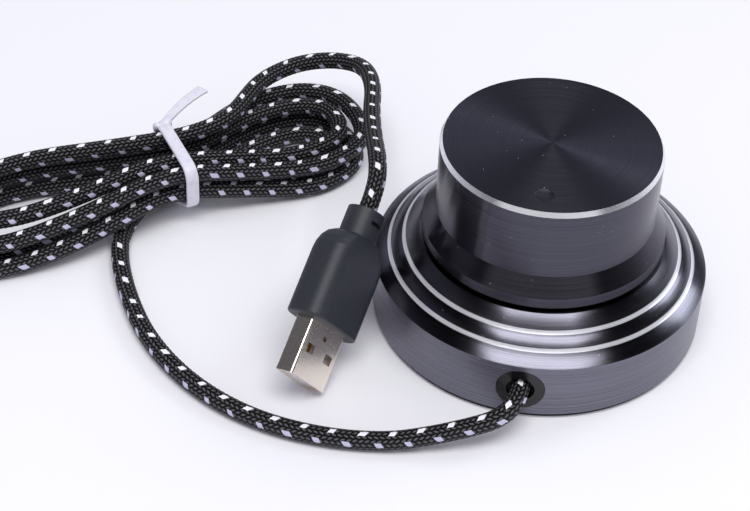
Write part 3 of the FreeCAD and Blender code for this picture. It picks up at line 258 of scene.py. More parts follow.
def carve(piece, tool):
    """Cuts the tool's shape out of the piece and removes the tool."""
    cut = piece.modifiers.new("cut", "BOOLEAN")
    cut.operation = "DIFFERENCE"
    cut.solver = "EXACT"
    cut.object = tool
    apply_modifiers(piece)
    bpy.data.objects.remove(tool)
    tidy(piece)


def cone_height(r):
    return WALL_TOP + (BASE_R - r) / (BASE_R - CONE_INNER_R) * (CONE_TOP - WALL_TOP)


slope = math.atan2(CONE_TOP - WALL_TOP, BASE_R - CONE_INNER_R)
groove_run = GROOVE_HALF_W * math.cos(slope)
outline = [(BASE_ROOM_R, BASE_BOTTOM), (BASE_R - BASE_EDGE_CHAMFER, BASE_BOTTOM),
           (BASE_R, BASE_BOTTOM + BASE_EDGE_CHAMFER), (BASE_R, WALL_TOP)]
for r in sorted(GROOVES, reverse=True):
    outline += [(r + groove_run, cone_height(r + groove_run)),
                (r - GROOVE_DEPTH * math.sin(slope), cone_height(r) - GROOVE_DEPTH * math.cos(slope)),
                (r - groove_run, cone_height(r - groove_run))]
outline += [(CONE_INNER_R, CONE_TOP), (CONE_INNER_R, DECK_TOP), (DECK_HOLE_R, DECK_TOP),
            (DECK_HOLE_R, DECK_TOP - DECK_T), (BASE_ROOM_R, DECK_TOP - DECK_T)]
housing = turned("housing", outline)

a = np.arange(GLAND_HOLE_STEPS) * 2 * np.pi / GLAND_HOLE_STEPS
hole_r = GLAND_R + GLAND_GAP
hole_ring = np.stack([hole_r * np.cos(a), np.zeros(GLAND_HOLE_STEPS), GLAND_Z + hole_r * np.sin(a)], -1)
hole_ends = np.array([[0, GLAND_HOLE_START, 0], [0, GLAND_HOLE_START + GLAND_HOLE_L, 0]], float)
gland_hole = surface("gland_hole", hole_ring[None] + hole_ends[:, None], cap_ends=True)
tidy(gland_hole)
carve(housing, gland_hole)

RING_LINE_MM = 0.16
RING_LINE_TURN_SHARE = 0.35
RING_ROUGHNESS = 0.06
BRIGHT_CUT_ROUGHNESS = 0.22
DUST_SPACING_MM = 2.0
DUST_R_MM = 0.08


def turned_metal(name, colour, bright_bands, bright_metal, top_above, top_rough, side_rough):
    """Lathe-turned metal about the Z axis, anodised but for bands cut bright afterwards.

    bright_bands lists (inner, outer) radii in millimetres, bright from the height top_above up; the
    turned top above it and the side below have their own roughness. Fine rings blur a reflection
    across them and leave it sharp along them; a few specks of dust lie on it. The real rings are
    finer than RING_LINE_MM, which is the finest that a picture shows.
    """
    material, tree = new_material(name)
    place = add(tree, "ShaderNodeTexCoord")
    x, y, z = add(tree, "ShaderNodeSeparateXYZ", {"Vector": place.outputs["Object"]}).outputs
    flat = add(tree, "ShaderNodeCombineXYZ", {"X": x, "Y": y})
    length = add(tree, "ShaderNodeVectorMath", {0: flat.outputs[0]}, operation="LENGTH")
    radius = length.outputs["Value"]
    around = maths(tree, "MULTIPLY", maths(tree, "ARCTAN2", y, x), RING_LINE_TURN_SHARE)
    r_lines = maths(tree, "MULTIPLY", radius, 1 / (RING_LINE_MM * MM))
    z_lines = maths(tree, "MULTIPLY", z, 1 / (RING_LINE_MM * MM))
    lathe = add(tree, "ShaderNodeCombineXYZ", {"X": around, "Y": r_lines, "Z": z_lines})
    lines = add(tree, "ShaderNodeTexNoise", {
        "Vector": lathe.outputs[0], "Scale": 1.0, "Detail": 3.0, "Roughness": 0.6}).outputs["Fac"]
    streaks = add(tree, "ShaderNodeMapRange", {"Value": lines, "From Min": 0.3, "From Max": 0.7}).outputs[0]
    top = maths(tree, "GREATER_THAN", z, top_above * MM)
    rings = 0.0
    for low, high in bright_bands:
        inside = maths(tree, "COMPARE", radius, (low + high) / 2 * MM, (high - low) / 2 * MM)
        rings = maths(tree, "MAXIMUM", rings, inside)
    cut = maths(tree, "MULTIPLY", rings, top)
    cells = add(tree, "ShaderNodeTexVoronoi", {
        "Vector": place.outputs["Object"], "Scale": 1 / (DUST_SPACING_MM * MM)})
    dust = maths(tree, "LESS_THAN", cells.outputs["Distance"], DUST_R_MM / DUST_SPACING_MM)
    worn = blend(tree, streaks, *colour)
    dusty = blend(tree, dust, blend(tree, cut, worn, "#f4f4fa"), "#b4b4bc")
    satin = add(tree, "ShaderNodeMix", {"Factor": top, "A": side_rough, "B": top_rough}).outputs[0]
    worn_rough = maths(tree, "MULTIPLY_ADD", streaks, RING_ROUGHNESS, satin)
    rough = add(tree, "ShaderNodeMix", {"Factor": cut, "A": worn_rough, "B": BRIGHT_CUT_ROUGHNESS}).outputs[0]
    scatter = maths(tree, "MULTIPLY_ADD", cut, bright_metal - 1, 1.0)
    metal = maths(tree, "SUBTRACT", scatter, dust, clamp=True)
    turning = add(tree, "ShaderNodeTangent", direction_type="RADIAL", axis="Z")
    bump = add(tree, "ShaderNodeBump", {"Height": lines, "Strength": 0.05, "Distance": 0.02 * MM})
    finish_with(tree, {
        "Base Color": dusty, "Metallic": metal, "Roughness": rough, "Anisotropic": 0.9,
        "Anisotropic Rotation": 0.25, "Tangent": turning.outputs[0], "Normal": bump.outputs[0]})
    return material


# Black anodising over fine turning: deep black where it mirrors the dark room, grey where it mirrors
# the table, and bright towards the overhead softbox. The grooves show bare metal.
groove_bands = [(r - GROOVE_BRIGHT_OUT, r + GROOVE_BRIGHT_IN) for r in GROOVES]
base_metal = turned_metal(
    "black_anodised_turned_aluminium", ("#676671", "#7f7e8a"), groove_bands, bright_metal=0.55,
    top_above=WALL_TOP + 0.1, top_rough=0.2, side_rough=0.24)
housing.data.materials.clear()
housing.data.materials.append(base_metal)
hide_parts("base_shell")
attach(housing, "base")

# Knob.
# Turned from aluminium bar and hollowed, anodised black, with a flange and skirt below the grip wall.
# Its top edge was chamfered after anodising, and a ball cutter left a finger dimple in the face.
KNOB_R = 22.8
KNOB_INNER_R = 19.5
KNOB_BOTTOM = 21.07
KNOB_EDGE_CHAMFER = 0.3
FLANGE_R = 25.37
FLANGE_TOP = 23.69
SKIRT_TOP = 27.46
CHAMFER_BOTTOM = 42.52
FACE_R = 22.21
KNOB_TOP = 43.55
KNOB_CEILING = 39.8
BOSS_R = 10.0
BOSS_BOTTOM = 30.8
BORE_R = 7.02
DIMPLE_R = 2.0
DIMPLE_DEPTH = 0.35
DIMPLE_Y = -17.2
DIMPLE_STEPS = 64
CUP_POINTS = 14
CUTTER_RIM_SHARE = 1.15
CUTTER_TOP = KNOB_TOP + 1.0
DIMPLE_EDGE_ANGLE = 12.0
CHAMFER_BAND = (22.23, 23.0)
knob = turned("knob", [
    (KNOB_INNER_R, KNOB_BOTTOM), (FLANGE_R - KNOB_EDGE_CHAMFER, KNOB_BOTTOM),
    (FLANGE_R, KNOB_BOTTOM + KNOB_EDGE_CHAMFER), (FLANGE_R, FLANGE_TOP), (KNOB_R, SKIRT_TOP),
    (KNOB_R, CHAMFER_BOTTOM), (FACE_R, KNOB_TOP), (0.0, KNOB_TOP), (0.0, KNOB_CEILING),
    (BORE_R, KNOB_CEILING), (BORE_R, BOSS_BOTTOM), (BOSS_R, BOSS_BOTTOM), (BOSS_R, KNOB_CEILING),
    (KNOB_INNER_R, KNOB_CEILING)])
ball_r = (DIMPLE_R ** 2 + DIMPLE_DEPTH ** 2) / (2 * DIMPLE_DEPTH)
cup_angle = np.linspace(0, math.asin(DIMPLE_R * CUTTER_RIM_SHARE / ball_r), CUP_POINTS)
cup_height = KNOB_TOP - DIMPLE_DEPTH + ball_r * (1 - np.cos(cup_angle))
cup = np.stack([ball_r * np.sin(cup_angle), cup_height], -1)
cutter_outline = cup.tolist() + [(cup[-1, 0], CUTTER_TOP), (0.0, CUTTER_TOP)]
cutter = turned("dimple_cutter", cutter_outline, steps=DIMPLE_STEPS)
cutter.data.transform(Matrix.Translation((0, DIMPLE_Y * MM, 0)))
carve(knob, cutter)
tidy(knob, DIMPLE_EDGE_ANGLE)
# The same anodising over spun rings, darker than the base: the face shows the rings as soft rays from
# its centre. The bare chamfer is a bright line.
knob_metal = turned_metal(
    "black_anodised_spun_aluminium", ("#484751", "#5a5963"), [CHAMFER_BAND], bright_metal=0.9,
    top_above=CHAMFER_BOTTOM + 0.02, top_rough=0.26, side_rough=0.18)
knob.data.materials.clear()
knob.data.materials.append(knob_metal)
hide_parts("knob_cap")
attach(knob, "knob")

# Cord.
# A four-core USB cable in a braided nylon sleeve, 3.9 mm thick: black bundles in herringbone with a
# white yarn that surfaces every 6 mm. It runs from the base to the hank and on to the plug.
CORD_R = 1.95
LEAD_POINTS = [
    (0.0, -33.0, 7.6), (0.0, -38.4, 7.6), (-3.2, -42.9, 6.5), (-9.0, -45.0, 5.0), (-15.8, -46.9, 3.4),
    (-25.0, -49.2, 1.97), (-38.5, -50.2, 1.97), (-53.0, -47.6, 1.97), (-66.5, -40.6, 1.97),
    (-78.0, -29.8, 1.97), (-86.0, -16.8, 1.97), (-91.0, -5.0, 1.97), (-92.4, 3.6, 1.97)]
TAIL_POINTS = [
    (-74.4, 36.2, 12.9), (-72.9, 42.4, 12.9), (-71.7, 49.1, 12.3), (-68.6, 55.0, 12.1), (-63.3, 59.0, 12.9),
    (-56.7, 60.1, 14.1), (-50.5, 58.1, 15.7), (-46.0, 53.4, 17.4), (-42.9, 42.7, 20.3), (-41.4, 30.0, 23.0),
    (-38.9, 17.5, 25.5), (-35.9, 4.4, 29.8)]
HANK_CENTRE = (-86.0, 22.4)
HANK_TURN = 35.0
HANK_START = 0.20
HANK_LOOPS = 4
HANK_FOLD = 0.06
HANK_HALF_L = 57.0
HANK_SHIFT = -9.0
HANK_L_STEP = 4.9
HANK_FULLNESS_SHARE = 0.37
HANK_LEFT_HALF_W = 16.2
HANK_LEFT_STEP = 5.05
HANK_RIGHT_HALF_W = 24.5
HANK_RIGHT_STEP = 7.4
HANK_TOP_WIDENING = 2.8
HANK_WAIST_L = 19.5
HANK_WAIST_PITCH = 4.65
HANK_WAIST_LANES = 1.97
HANK_WAIST_BEND = -3.2
HANK_TOP_BEND = 4.0
HANK_BEND = -0.8
HANK_BEND_TILT = -0.4
HANK_LAYER_BEND = 1.6
HANK_NEST_LANES = 0.27
HANK_CLIMB = 0.4
HANK_CLIMB_LATE = 0.25
HANK_LAYER_PITCH = 4.95
HANK_TIE_LIFT = 1.2
HANK_FLOOR_GAP = 0.02
HANK_BRIDGE_U = -8.5
HANK_BRIDGE_L = 37.0
HANK_BRIDGE_H = 5.55
HANK_LEAD_RUN = 8.0
HANK_TAIL_RUN = 5.0
POINTS_PER_LOOP = 24
SMALL_ANGLE = 1e-3
PLUG_TIP = np.array([-44.26, -38.81, 5.33])
PLUG_L = 38.0
PLUG_AXIS_AZIMUTH = 75.77
PLUG_AXIS_RISE = 31.58
PLUG_TAIL_RUN = 6.0


def smooth_step(x):
    x = np.clip(x, 0, 1)
    return x * x * (3 - 2 * x)


def hank_line(angle):
    """Centreline of the hank in millimetres, at angles wound from its start.

    u = shift + half length * sin(phase) * (1 + fullness * cos^2) runs along the hank, and
    v = cos(phase) * half width across it, blended by exp(-(u / waist)^2) to lanes at the tie. The
    lane runs from the outer loop to the inner one and out again; the line climbs a layer along a run
    where it turns back and once more for the last half turn, and bridges the lead on its near side.
    """
    phase = HANK_START + angle
    turns = angle / (2 * np.pi)
    lane = np.hypot(turns - HANK_LOOPS / 2, HANK_FOLD)
    swing, side = np.sin(phase), np.cos(phase)
    u = HANK_SHIFT + (HANK_HALF_L - HANK_L_STEP * lane) * swing * (1 + HANK_FULLNESS_SHARE * side ** 2)
    waist = np.exp(-(u / HANK_WAIST_L) ** 2)
    far = (1 + swing) / 2
    climb = smooth_step((angle - HANK_LOOPS * np.pi) / (2 * HANK_CLIMB) + 1 / 2)
    last_half_turn = (2 * HANK_LOOPS - 1) * np.pi + HANK_CLIMB_LATE
    top_turn = smooth_step((angle - last_half_turn) / (2 * HANK_CLIMB) + 1 / 2)
    layer = climb + top_turn
    nested = lane + HANK_NEST_LANES * climb
    half_w = (1 - far) * (HANK_LEFT_HALF_W - HANK_LEFT_STEP * nested)
    half_w += far * (HANK_RIGHT_HALF_W - HANK_RIGHT_STEP * nested) + HANK_TOP_WIDENING * top_turn
    waist_w = HANK_WAIST_PITCH * (HANK_WAIST_LANES - lane)
    bend = HANK_BEND + HANK_BEND_TILT * swing + HANK_LAYER_BEND * layer * far
    waist_bend = HANK_WAIST_BEND + HANK_TOP_BEND * top_turn
    v = (side * half_w + bend) * (1 - waist) + (side * waist_w + waist_bend) * waist
    z = CORD_R + HANK_FLOOR_GAP + HANK_LAYER_PITCH * layer + HANK_TIE_LIFT * waist
    from_bridge = u - HANK_BRIDGE_U
    bridging = (side < 0) & (np.abs(from_bridge) < HANK_BRIDGE_L)
    bridge = HANK_BRIDGE_H * (1 + np.cos(np.pi * from_bridge / HANK_BRIDGE_L)) / 2
    z = z + np.where(bridging, bridge, 0)
    a = math.radians(HANK_TURN)
    x = HANK_CENTRE[0] + u * math.cos(a) - v * math.sin(a)
    y = HANK_CENTRE[1] + u * math.sin(a) + v * math.cos(a)
    return np.stack([x, y, z], -1)


def turn_about(axis, degrees):
    return np.array(Matrix.Rotation(math.radians(degrees), 3, axis))


def unit(vector):
    return vector / np.linalg.norm(vector)


plug_axis = (turn_about("Z", PLUG_AXIS_AZIMUTH - 90.0) @ turn_about("X", PLUG_AXIS_RISE))[:, 1]
plug_end = PLUG_TIP + PLUG_L * plug_axis
wound_angle = 2 * np.pi * HANK_LOOPS
wound = hank_line(np.linspace(0, wound_angle, POINTS_PER_LOOP * HANK_LOOPS + 1))
ends = hank_line(np.array([0.0, SMALL_ANGLE, wound_angle - SMALL_ANGLE, wound_angle]))
leaving = unit(ends[1] - ends[0])
coming = unit(ends[3] - ends[2])
route = np.vstack([
    LEAD_POINTS, ends[0] - leaving * (2 * CORD_R + HANK_LEAD_RUN), wound,
    ends[3] + coming * (2 * CORD_R + HANK_TAIL_RUN), TAIL_POINTS,
    plug_end + plug_axis * PLUG_TAIL_RUN, plug_end])
line = bpy.data.curves.new("cord_line", "CURVE")
line.dimensions = "3D"
line.resolution_u = 12
spline = line.splines.new("NURBS")
spline.points.add(len(route) - 1)
spline.points.foreach_set("co", np.hstack([route * MM, np.ones((len(route), 1))]).ravel())
spline.order_u = 3
spline.use_endpoint_u = True
line_object = bpy.data.objects.new("cord_line", line)
scene.collection.objects.link(line_object)
bpy.context.view_layer.update()
drawn = line_object.evaluated_get(bpy.context.evaluated_depsgraph_get())
line_mesh = bpy.data.meshes.new_from_object(drawn)
path = np.empty(len(line_mesh.vertices) * 3)
line_mesh.vertices.foreach_get("co", path)
path = path.reshape(-1, 3) / MM
bpy.data.objects.remove(line_object)

BUNDLE_PITCH = 1.2
COLUMNS_ROUND = 14
COLUMN_W = 2 * np.pi * CORD_R / COLUMNS_ROUND
RING_STEP = BUNDLE_PITCH / 3
RING_POINTS = 2 * COLUMNS_ROUND
BRAID_VALLEY_DEPTH = 0.20
BRAID_HEIGHT = 0.26
FLECK_COLUMNS = 7
FLECK_BUNDLES = 5
FLECK_HALF_L = 0.68
FLECK_HALF_W = 0.58
FLECK_LEAN = 0.55
FLECK_DRIFT = 2.0
FLECK_DRIFT_RATE = 0.13


def even_path(points, step):
    """The path resampled at even steps and lightly smoothed, with its arc length at each point."""
    run = np.concatenate([[0], np.cumsum(np.linalg.norm(np.diff(points, axis=0), axis=1))])
    along = np.linspace(0, run[-1], int(run[-1] / step) + 1)
    even = np.stack([np.interp(along, run, points[:, k]) for k in range(3)], -1)
    kernel = np.array([1, 2, 3, 2, 1]) / 9
    inner = np.stack([np.convolve(even[:, k], kernel, "valid") for k in range(3)], -1)
    even[2:-2] = inner
    return even, along


def level_frame(points):
    """Level side direction of a path (tangent x up) and the direction across it and the tangent."""
    tangent = np.gradient(points, axis=0)
    tangent /= np.linalg.norm(tangent, axis=1)[:, None]
    side = np.cross(tangent, (0, 0, 1))
    side /= np.linalg.norm(side, axis=1)[:, None]
    return side, np.cross(tangent, side)


def braid_height(s, t):
    """Height of the braid, 0 to 1.

    Columns of yarn bundles run along the cord and lean left and right in turn, half a pitch apart:
    height = |cos(pi q)|^0.6 * |cos(pi f)|^0.5, q counting bundles along a column, f places across it.
    """
    column = np.floor(t / COLUMN_W)
    f = t / COLUMN_W - column - 0.5
    lean = 1 - 2 * np.mod(column, 2)
    q = (s + lean * f * COLUMN_W) / BUNDLE_PITCH + np.mod(column, 2) / 2
    return np.abs(np.cos(np.pi * q)) ** 0.6 * np.abs(np.cos(np.pi * f)) ** 0.5


points, along = even_path(path, RING_STEP)
side, over = level_frame(points)
theta = np.arange(RING_POINTS + 1) * 2 * np.pi / RING_POINTS
s_grid, t_grid = np.meshgrid(along, theta * CORD_R, indexing="ij")
reach = CORD_R - BRAID_VALLEY_DEPTH + BRAID_HEIGHT * braid_height(s_grid, t_grid + COLUMN_W / 4)
outward = np.cos(theta)[None, :, None] * side[:, None] + np.sin(theta)[None, :, None] * over[:, None]
cord = surface("braided_cord", points[:, None] + reach[..., None] * outward, closed_u=False)
cord.data.shade_smooth()
uv = cord.data.uv_layers.new(name="sleeve")
corner_vertex = np.empty(len(cord.data.loops), int)
cord.data.loops.foreach_get("vertex_index", corner_vertex)
flat_uv = np.stack([s_grid.ravel(), t_grid.ravel()], -1)[corner_vertex]
uv.data.foreach_set("uv", flat_uv.ravel())

# Braided nylon, drawn on a chart in millimetres: s along the cord and t round it. The black yarn's colour
# is painted grey along the top of each bundle as painted sheen and near black in the gaps as painted
# shade. The white yarn shows as small leaning flecks in two families; the second is painted lavender as
# painted shade.
sleeve, tree = new_material("braided_nylon_sleeve")
chart = add(tree, "ShaderNodeUVMap", uv_map="sleeve")
place = add(tree, "ShaderNodeSeparateXYZ", {"Vector": chart.outputs[0]})
s_mm, t_mm = place.outputs[0], place.outputs[1]
turns_t = maths(tree, "MULTIPLY", t_mm, 1 / COLUMN_W)
column = maths(tree, "FLOOR", turns_t)
odd = maths(tree, "FLOORED_MODULO", column, 2.0)
lean = maths(tree, "MULTIPLY_ADD", odd, -2.0, 1.0)
across = maths(tree, "SUBTRACT", maths(tree, "SUBTRACT", turns_t, column), 0.5)
slant = maths(tree, "MULTIPLY", maths(tree, "MULTIPLY", lean, across), COLUMN_W / BUNDLE_PITCH)
bundle = maths(tree, "MULTIPLY_ADD", s_mm, 1 / BUNDLE_PITCH, slant)
bundle = maths(tree, "MULTIPLY_ADD", odd, 0.5, bundle)
ridge = maths(tree, "ABSOLUTE", maths(tree, "COSINE", maths(tree, "MULTIPLY", bundle, math.pi)))
crest = maths(tree, "COSINE", maths(tree, "MULTIPLY", across, math.pi))
pillow = maths(tree, "POWER", maths(tree, "MULTIPLY", ridge, crest), 0.6)
flecks = []
for family_lean, shift_t, shift_s in ((1.0, 0.0, 0.0), (-1.0, 3 * COLUMN_W, 2.5 * BUNDLE_PITCH)):
    drift = add(tree, "ShaderNodeTexNoise", {
        "W": maths(tree, "MULTIPLY", s_mm, FLECK_DRIFT_RATE), "Scale": 1.0, "Detail": 1.0,
        "Distortion": 0.3 * family_lean}, noise_dimensions="1D")
    uneven_s = maths(tree, "MULTIPLY_ADD", drift.outputs["Fac"], FLECK_DRIFT, s_mm)
    moved_s = maths(tree, "ADD", uneven_s, shift_s)
    moved_t = maths(tree, "ADD", t_mm, shift_t)
    cell_s = maths(tree, "FLOORED_MODULO", moved_s, FLECK_BUNDLES * BUNDLE_PITCH)
    cell_t = maths(tree, "FLOORED_MODULO", moved_t, FLECK_COLUMNS * COLUMN_W)
    near_s = maths(tree, "SUBTRACT", cell_s, FLECK_BUNDLES / 2 * BUNDLE_PITCH)
    near_t = maths(tree, "SUBTRACT", cell_t, FLECK_COLUMNS / 2 * COLUMN_W)
    leaning = maths(tree, "MULTIPLY_ADD", near_t, FLECK_LEAN * family_lean, near_s)
    in_long = maths(tree, "COMPARE", leaning, 0.0, FLECK_HALF_L)
    in_wide = maths(tree, "COMPARE", near_t, 0.0, FLECK_HALF_W)
    flecks.append(maths(tree, "MULTIPLY", in_long, in_wide))
fleck = maths(tree, "MAXIMUM", *flecks)
# Painted sheen and shade: grey on the tops of the bundles, near black in the gaps between them.
painted_sheen_and_gap_shade = add(tree, "ShaderNodeMapRange", {"Value": pillow, "From Min": 0.55, "From Max": 0.98})
black_yarn_painted_sheen_and_shade = blend(tree, painted_sheen_and_gap_shade.outputs[0], "#020203", "#66666a")
# Painted shade: the second fleck family is painted lavender instead of white.
white_yarn_and_painted_shade = blend(tree, flecks[0], "#d0cee6", "#fafaff")
relief = maths(tree, "MAXIMUM", pillow, fleck)
bump = add(tree, "ShaderNodeBump", {"Height": relief, "Strength": 0.9, "Distance": 0.25 * MM})
finish_with(tree, {
    "Base Color": blend(tree, fleck, black_yarn_painted_sheen_and_shade, white_yarn_and_painted_shade), "Roughness": 0.5,
    "Specular IOR Level": 0.25, "Normal": bump.outputs[0]})
cord.data.materials.append(sleeve)
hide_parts("cord_lead", "cord_hank", "cord_tail")
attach(cord, "base")

# Tie.
# A wire covered in white vinyl, bent round the hank's waist and twisted once at the back. Its free
# end widens and stands up to the right.
TIE_W = 2.9
TIE_T = 1.1
TIE_GAP = 0.3
TIE_REACH = 20.0
TIE_BAND_STEPS = 720
SECTION_POINTS = 24
TWIST_BEARING = 52.0
TWIST_W = 2.6
TWIST_T = 1.5
TWIST_HALF_L = 2.3
TWIST_OUT = 0.5
TWIST_ROWS = 28
END_LINE = np.array([6.2, 13.6, 1.3])
END_START_W = 1.7
END_WIDENING = 1.3
END_T = 0.9
END_CURL = 0.9
END_ROWS = 30
TIE_SMOOTH_ANGLE = 40.0
hank_turn = math.radians(HANK_TURN)
along_hank = np.array([math.cos(hank_turn), math.sin(hank_turn), 0.0])
across_hank = np.array([-math.sin(hank_turn), math.cos(hank_turn), 0.0])
upward = np.array([0.0, 0.0, 1.0])
tie_centre = np.array([*HANK_CENTRE, 0.0])
section = np.linspace(0, 2 * np.pi, SECTION_POINTS, endpoint=False)


def rounded_section(width, thickness):
    """Rounded rectangle: (cos^0.6 * half width, sin^0.6 * half thickness), signs kept."""
    c, s = np.cos(section), np.sin(section)
    return (np.sign(c) * np.abs(c) ** 0.6 * width / 2, np.sign(s) * np.abs(s) ** 0.6 * thickness / 2)


# The band lies outside the strand that reaches farthest towards each bearing round the waist.
from_tie = points - tie_centre
at_waist = from_tie[np.abs(from_tie @ along_hank) < TIE_W / 2]
strands = np.stack([at_waist @ across_hank, at_waist[:, 2]], -1)
strands = strands[np.abs(strands[:, 0]) < TIE_REACH]
bearing = np.arange(TIE_BAND_STEPS) * 2 * np.pi / TIE_BAND_STEPS
outward = np.stack([np.cos(bearing), np.sin(bearing)], -1)
farthest = strands[np.argmax(strands @ outward.T, axis=0)]
band_line = farthest + outward * (CORD_R + TIE_GAP + TIE_T / 2)
band_3d = tie_centre + band_line[:, :1] * across_hank + band_line[:, 1:] * upward
normal_3d = outward[:, :1] * across_hank + outward[:, 1:] * upward
wide, thick = rounded_section(TIE_W, TIE_T)
band_grid = band_3d[:, None] + wide[None, :, None] * along_hank + thick[None, :, None] * normal_3d[:, None]
band = surface("tie_band", np.concatenate([band_grid, band_grid[:1]]))

# The twist is a thick section that makes half a turn on its way and thins off at both ends.
twist_row = np.argmin(np.abs(bearing - math.radians(TWIST_BEARING)))
twist_at = band_3d[twist_row] + TWIST_OUT * across_hank
rows = np.linspace(-1, 1, TWIST_ROWS)[:, None]
wide, thick = rounded_section(TWIST_W, TWIST_T)
spin = rows * np.pi / 2
swell = np.sqrt(np.clip(1 - rows ** 6, 0.02, 1))
part_across = swell * (wide * np.cos(spin) - thick * np.sin(spin))
part_up = swell * (wide * np.sin(spin) + thick * np.cos(spin))
twist_grid = (twist_at + rows[..., None] * TWIST_HALF_L * along_hank + part_across[..., None] * across_hank
              + part_up[..., None] * upward)
twist = surface("tie_twist", twist_grid, cap_ends=True)

# The free end is flatter and widens and curls along its line.
end_side = unit(np.cross(END_LINE, upward))
end_up = np.cross(end_side, unit(END_LINE))
rows = np.linspace(0, 1, END_ROWS)[:, None]
wide, thick = rounded_section(1.0, END_T)
widening = END_START_W + END_WIDENING * rows ** 0.7
curl = END_CURL * np.sin(np.pi * rows)
end_grid = (twist_at + rows[..., None] * END_LINE + (widening * wide)[..., None] * end_side
            + (thick + curl)[..., None] * end_up)
free_end = surface("tie_end", end_grid, cap_ends=True)


def joined(name, pieces):
    """One object of several closed pieces."""
    work = bmesh.new()
    for piece in pieces:
        tidy(piece, TIE_SMOOTH_ANGLE)
        work.from_mesh(piece.data)
    mesh = bpy.data.meshes.new(name)
    work.to_mesh(mesh)
    work.free()
    whole = bpy.data.objects.new(name, mesh)
    scene.collection.objects.link(whole)
    mesh.shade_smooth()
    mesh.set_sharp_from_angle(angle=math.radians(TIE_SMOOTH_ANGLE))
    for piece in pieces:
        bpy.data.objects.remove(piece)
    return whole


tie = joined("twist_tie", [band, twist, free_end])
# Glossy vinyl that lets a little light through, slightly uneven from being bent by hand.
DENT_MM = 1.6
vinyl, tree = new_material("white_vinyl_over_wire")
place = add(tree, "ShaderNodeTexCoord")
uneven = add(tree, "ShaderNodeTexNoise", {
    "Vector": place.outputs["Object"], "Scale": 1 / (DENT_MM * MM), "Detail": 2.0}).outputs["Fac"]
rough = add(tree, "ShaderNodeMapRange", {"Value": uneven, "To Min": 0.22, "To Max": 0.36})
bump = add(tree, "ShaderNodeBump", {"Height": uneven, "Strength": 0.25, "Distance": 0.1 * MM})
finish_with(tree, {
    "Base Color": blend(tree, uneven, "#dddbe9", "#f2f1f9"), "Roughness": rough.outputs[0],
    "Subsurface Weight": 0.1, "Subsurface Scale": 1.0 * MM, "Normal": bump.outputs[0]})
tie.data.materials.append(vinyl)
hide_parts("cord_tie")
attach(tie, "base")

# Underside.
# A silicone pad, stuck to a painted steel plate that four zinc-plated screws hold in the housing. These
# pieces and those in the sections below keep their shape from the model and get their own finish.
ROUGH_SPREAD = 0.04
GRAIN_HEIGHT_MM = 0.02


def dress(names, name, colour, roughness, metallic=0.0, grain_mm=0.4, relief=0.12):
    """Gives the named nodes one material whose colour and roughness vary slightly with a fine grain."""
    material, tree = new_material(name)
    place = add(tree, "ShaderNodeTexCoord")
    grain = add(tree, "ShaderNodeTexNoise", {
        "Vector": place.outputs["Object"], "Scale": 1 / (grain_mm * MM), "Detail": 2.0}).outputs["Fac"]
    rough = add(tree, "ShaderNodeMapRange", {
        "Value": grain, "To Min": roughness - ROUGH_SPREAD, "To Max": roughness + ROUGH_SPREAD})
    bump = add(tree, "ShaderNodeBump", {
        "Height": grain, "Strength": relief, "Distance": GRAIN_HEIGHT_MM * MM})
    finish_with(tree, {
        "Base Color": blend(tree, grain, *colour), "Roughness": rough.outputs[0], "Metallic": metallic,
        "Normal": bump.outputs[0]})
    for node in names:
        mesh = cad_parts[node].data
        mesh.materials.clear()
        mesh.materials.append(material)


# Matt rubber, satin paint and the pale grey sheen of plated steel.
dress(["foot_pad"], "black_silicone_pad", ("#141416", "#1c1c1f"), 0.6)
dress(["base_plate"], "black_painted_steel", ("#17171a", "#212125"), 0.5)
dress(["plate_screws", "board_screws", "encoder_nut", "encoder_washer"], "zinc_plated_steel",
      ("#9a9ba0", "#b4b5ba"), 0.35, metallic=1.0)

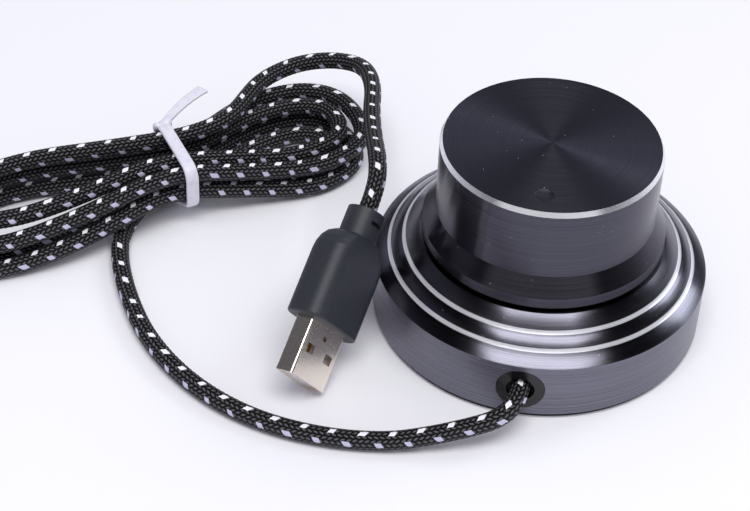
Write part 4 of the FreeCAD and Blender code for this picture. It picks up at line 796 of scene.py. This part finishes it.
# Shaft, encoder and switch.
# A ground steel shaft in a plastic hub turns the rotor of an encoder, which has a die-cast bush, a
# moulded chamber and a sheet-steel clip. Under the shaft a plunger meets the dome of a push switch.
# The metals differ in tint: neutral steel, dull zinc, bright tin and reddish spring bronze.
dress(["encoder_shaft", "shaft_clip"], "ground_steel", ("#a4a5a8", "#bcbdc0"), 0.3, metallic=1.0)
dress(["knob_hub"], "black_moulded_nylon", ("#18181a", "#222225"), 0.5)
dress(["encoder_bushing"], "die_cast_zinc", ("#8d8e92", "#a5a6aa"), 0.45, metallic=1.0)
dress(["encoder_housing", "encoder_rotor", "switch_base"], "black_moulded_polyamide",
      ("#151517", "#202023"), 0.5)
dress(["encoder_bracket"], "tinned_sheet_steel", ("#a9aab0", "#c2c3c8"), 0.3, metallic=1.0)
dress(["detent_spring", "switch_dome"], "phosphor_bronze", ("#a9754a", "#c08a58"), 0.3, metallic=1.0)
dress(["switch_plunger"], "white_moulded_acetal", ("#dcdad2", "#eae8e0"), 0.45)
dress(["encoder_terminals"], "tinned_brass", ("#b5b6ba", "#c9cacd"), 0.35, metallic=1.0)

# Board and the cord inside.
# A round board under green solder mask carries the chip, the clock crystal and the socket for the
# cord's four wires. The cord comes in through a glossy rubber grommet and a nylon tie holds it.
dress(["circuit_board"], "green_solder_mask", ("#0d3d24", "#14492c"), 0.3)
dress(["controller_chip"], "black_chip_epoxy", ("#1a1a1c", "#242426"), 0.6)
dress(["crystal"], "nickel_plated_can", ("#b6b6b4", "#c8c8c5"), 0.25, metallic=1.0)
dress(["board_header", "cord_connector"], "natural_nylon", ("#e2ded2", "#eeeade"), 0.45)
dress(["cord_wires"], "vinyl_wire_insulation", ("#8a1f1f", "#a02828"), 0.4)
dress(["cord_gland"], "glossy_black_rubber", ("#08080a", "#0e0e11"), 0.22)
dress(["cord_inside"], "braided_nylon_inside", ("#0c0c0e", "#2a2a2c"), 0.6)
dress(["cord_stop_tie"], "black_nylon_tie", ("#111113", "#19191b"), 0.45)

# Plug.
# A vinyl grip moulded over the cord's end, with an eroded finish whose fine bump catches the light and whose
# colour grain adds fine grey specks as painted sparkle, and a drawn steel shell in warm nickel plate round a
# white insulator with four gold-plated contacts.
# Painted sparkle: the grip's colour grain runs from near black to grey in fine specks.
dress(["plug_overmould"], "black_moulded_vinyl_grip", ("#15171c", "#42454f"), 0.48, grain_mm=0.24,
      relief=1.0)
dress(["plug_shell"], "nickel_plated_plug_shell", ("#f6ecdf", "#fbf2e6"), 0.26, metallic=1.0, relief=0.01)
dress(["plug_tongue"], "white_plug_insulator", ("#eceaf2", "#f6f5fa"), 0.4)
dress(["plug_contacts"], "gold_plated_contacts", ("#c79a45", "#d9b05a"), 0.3, metallic=1.0)
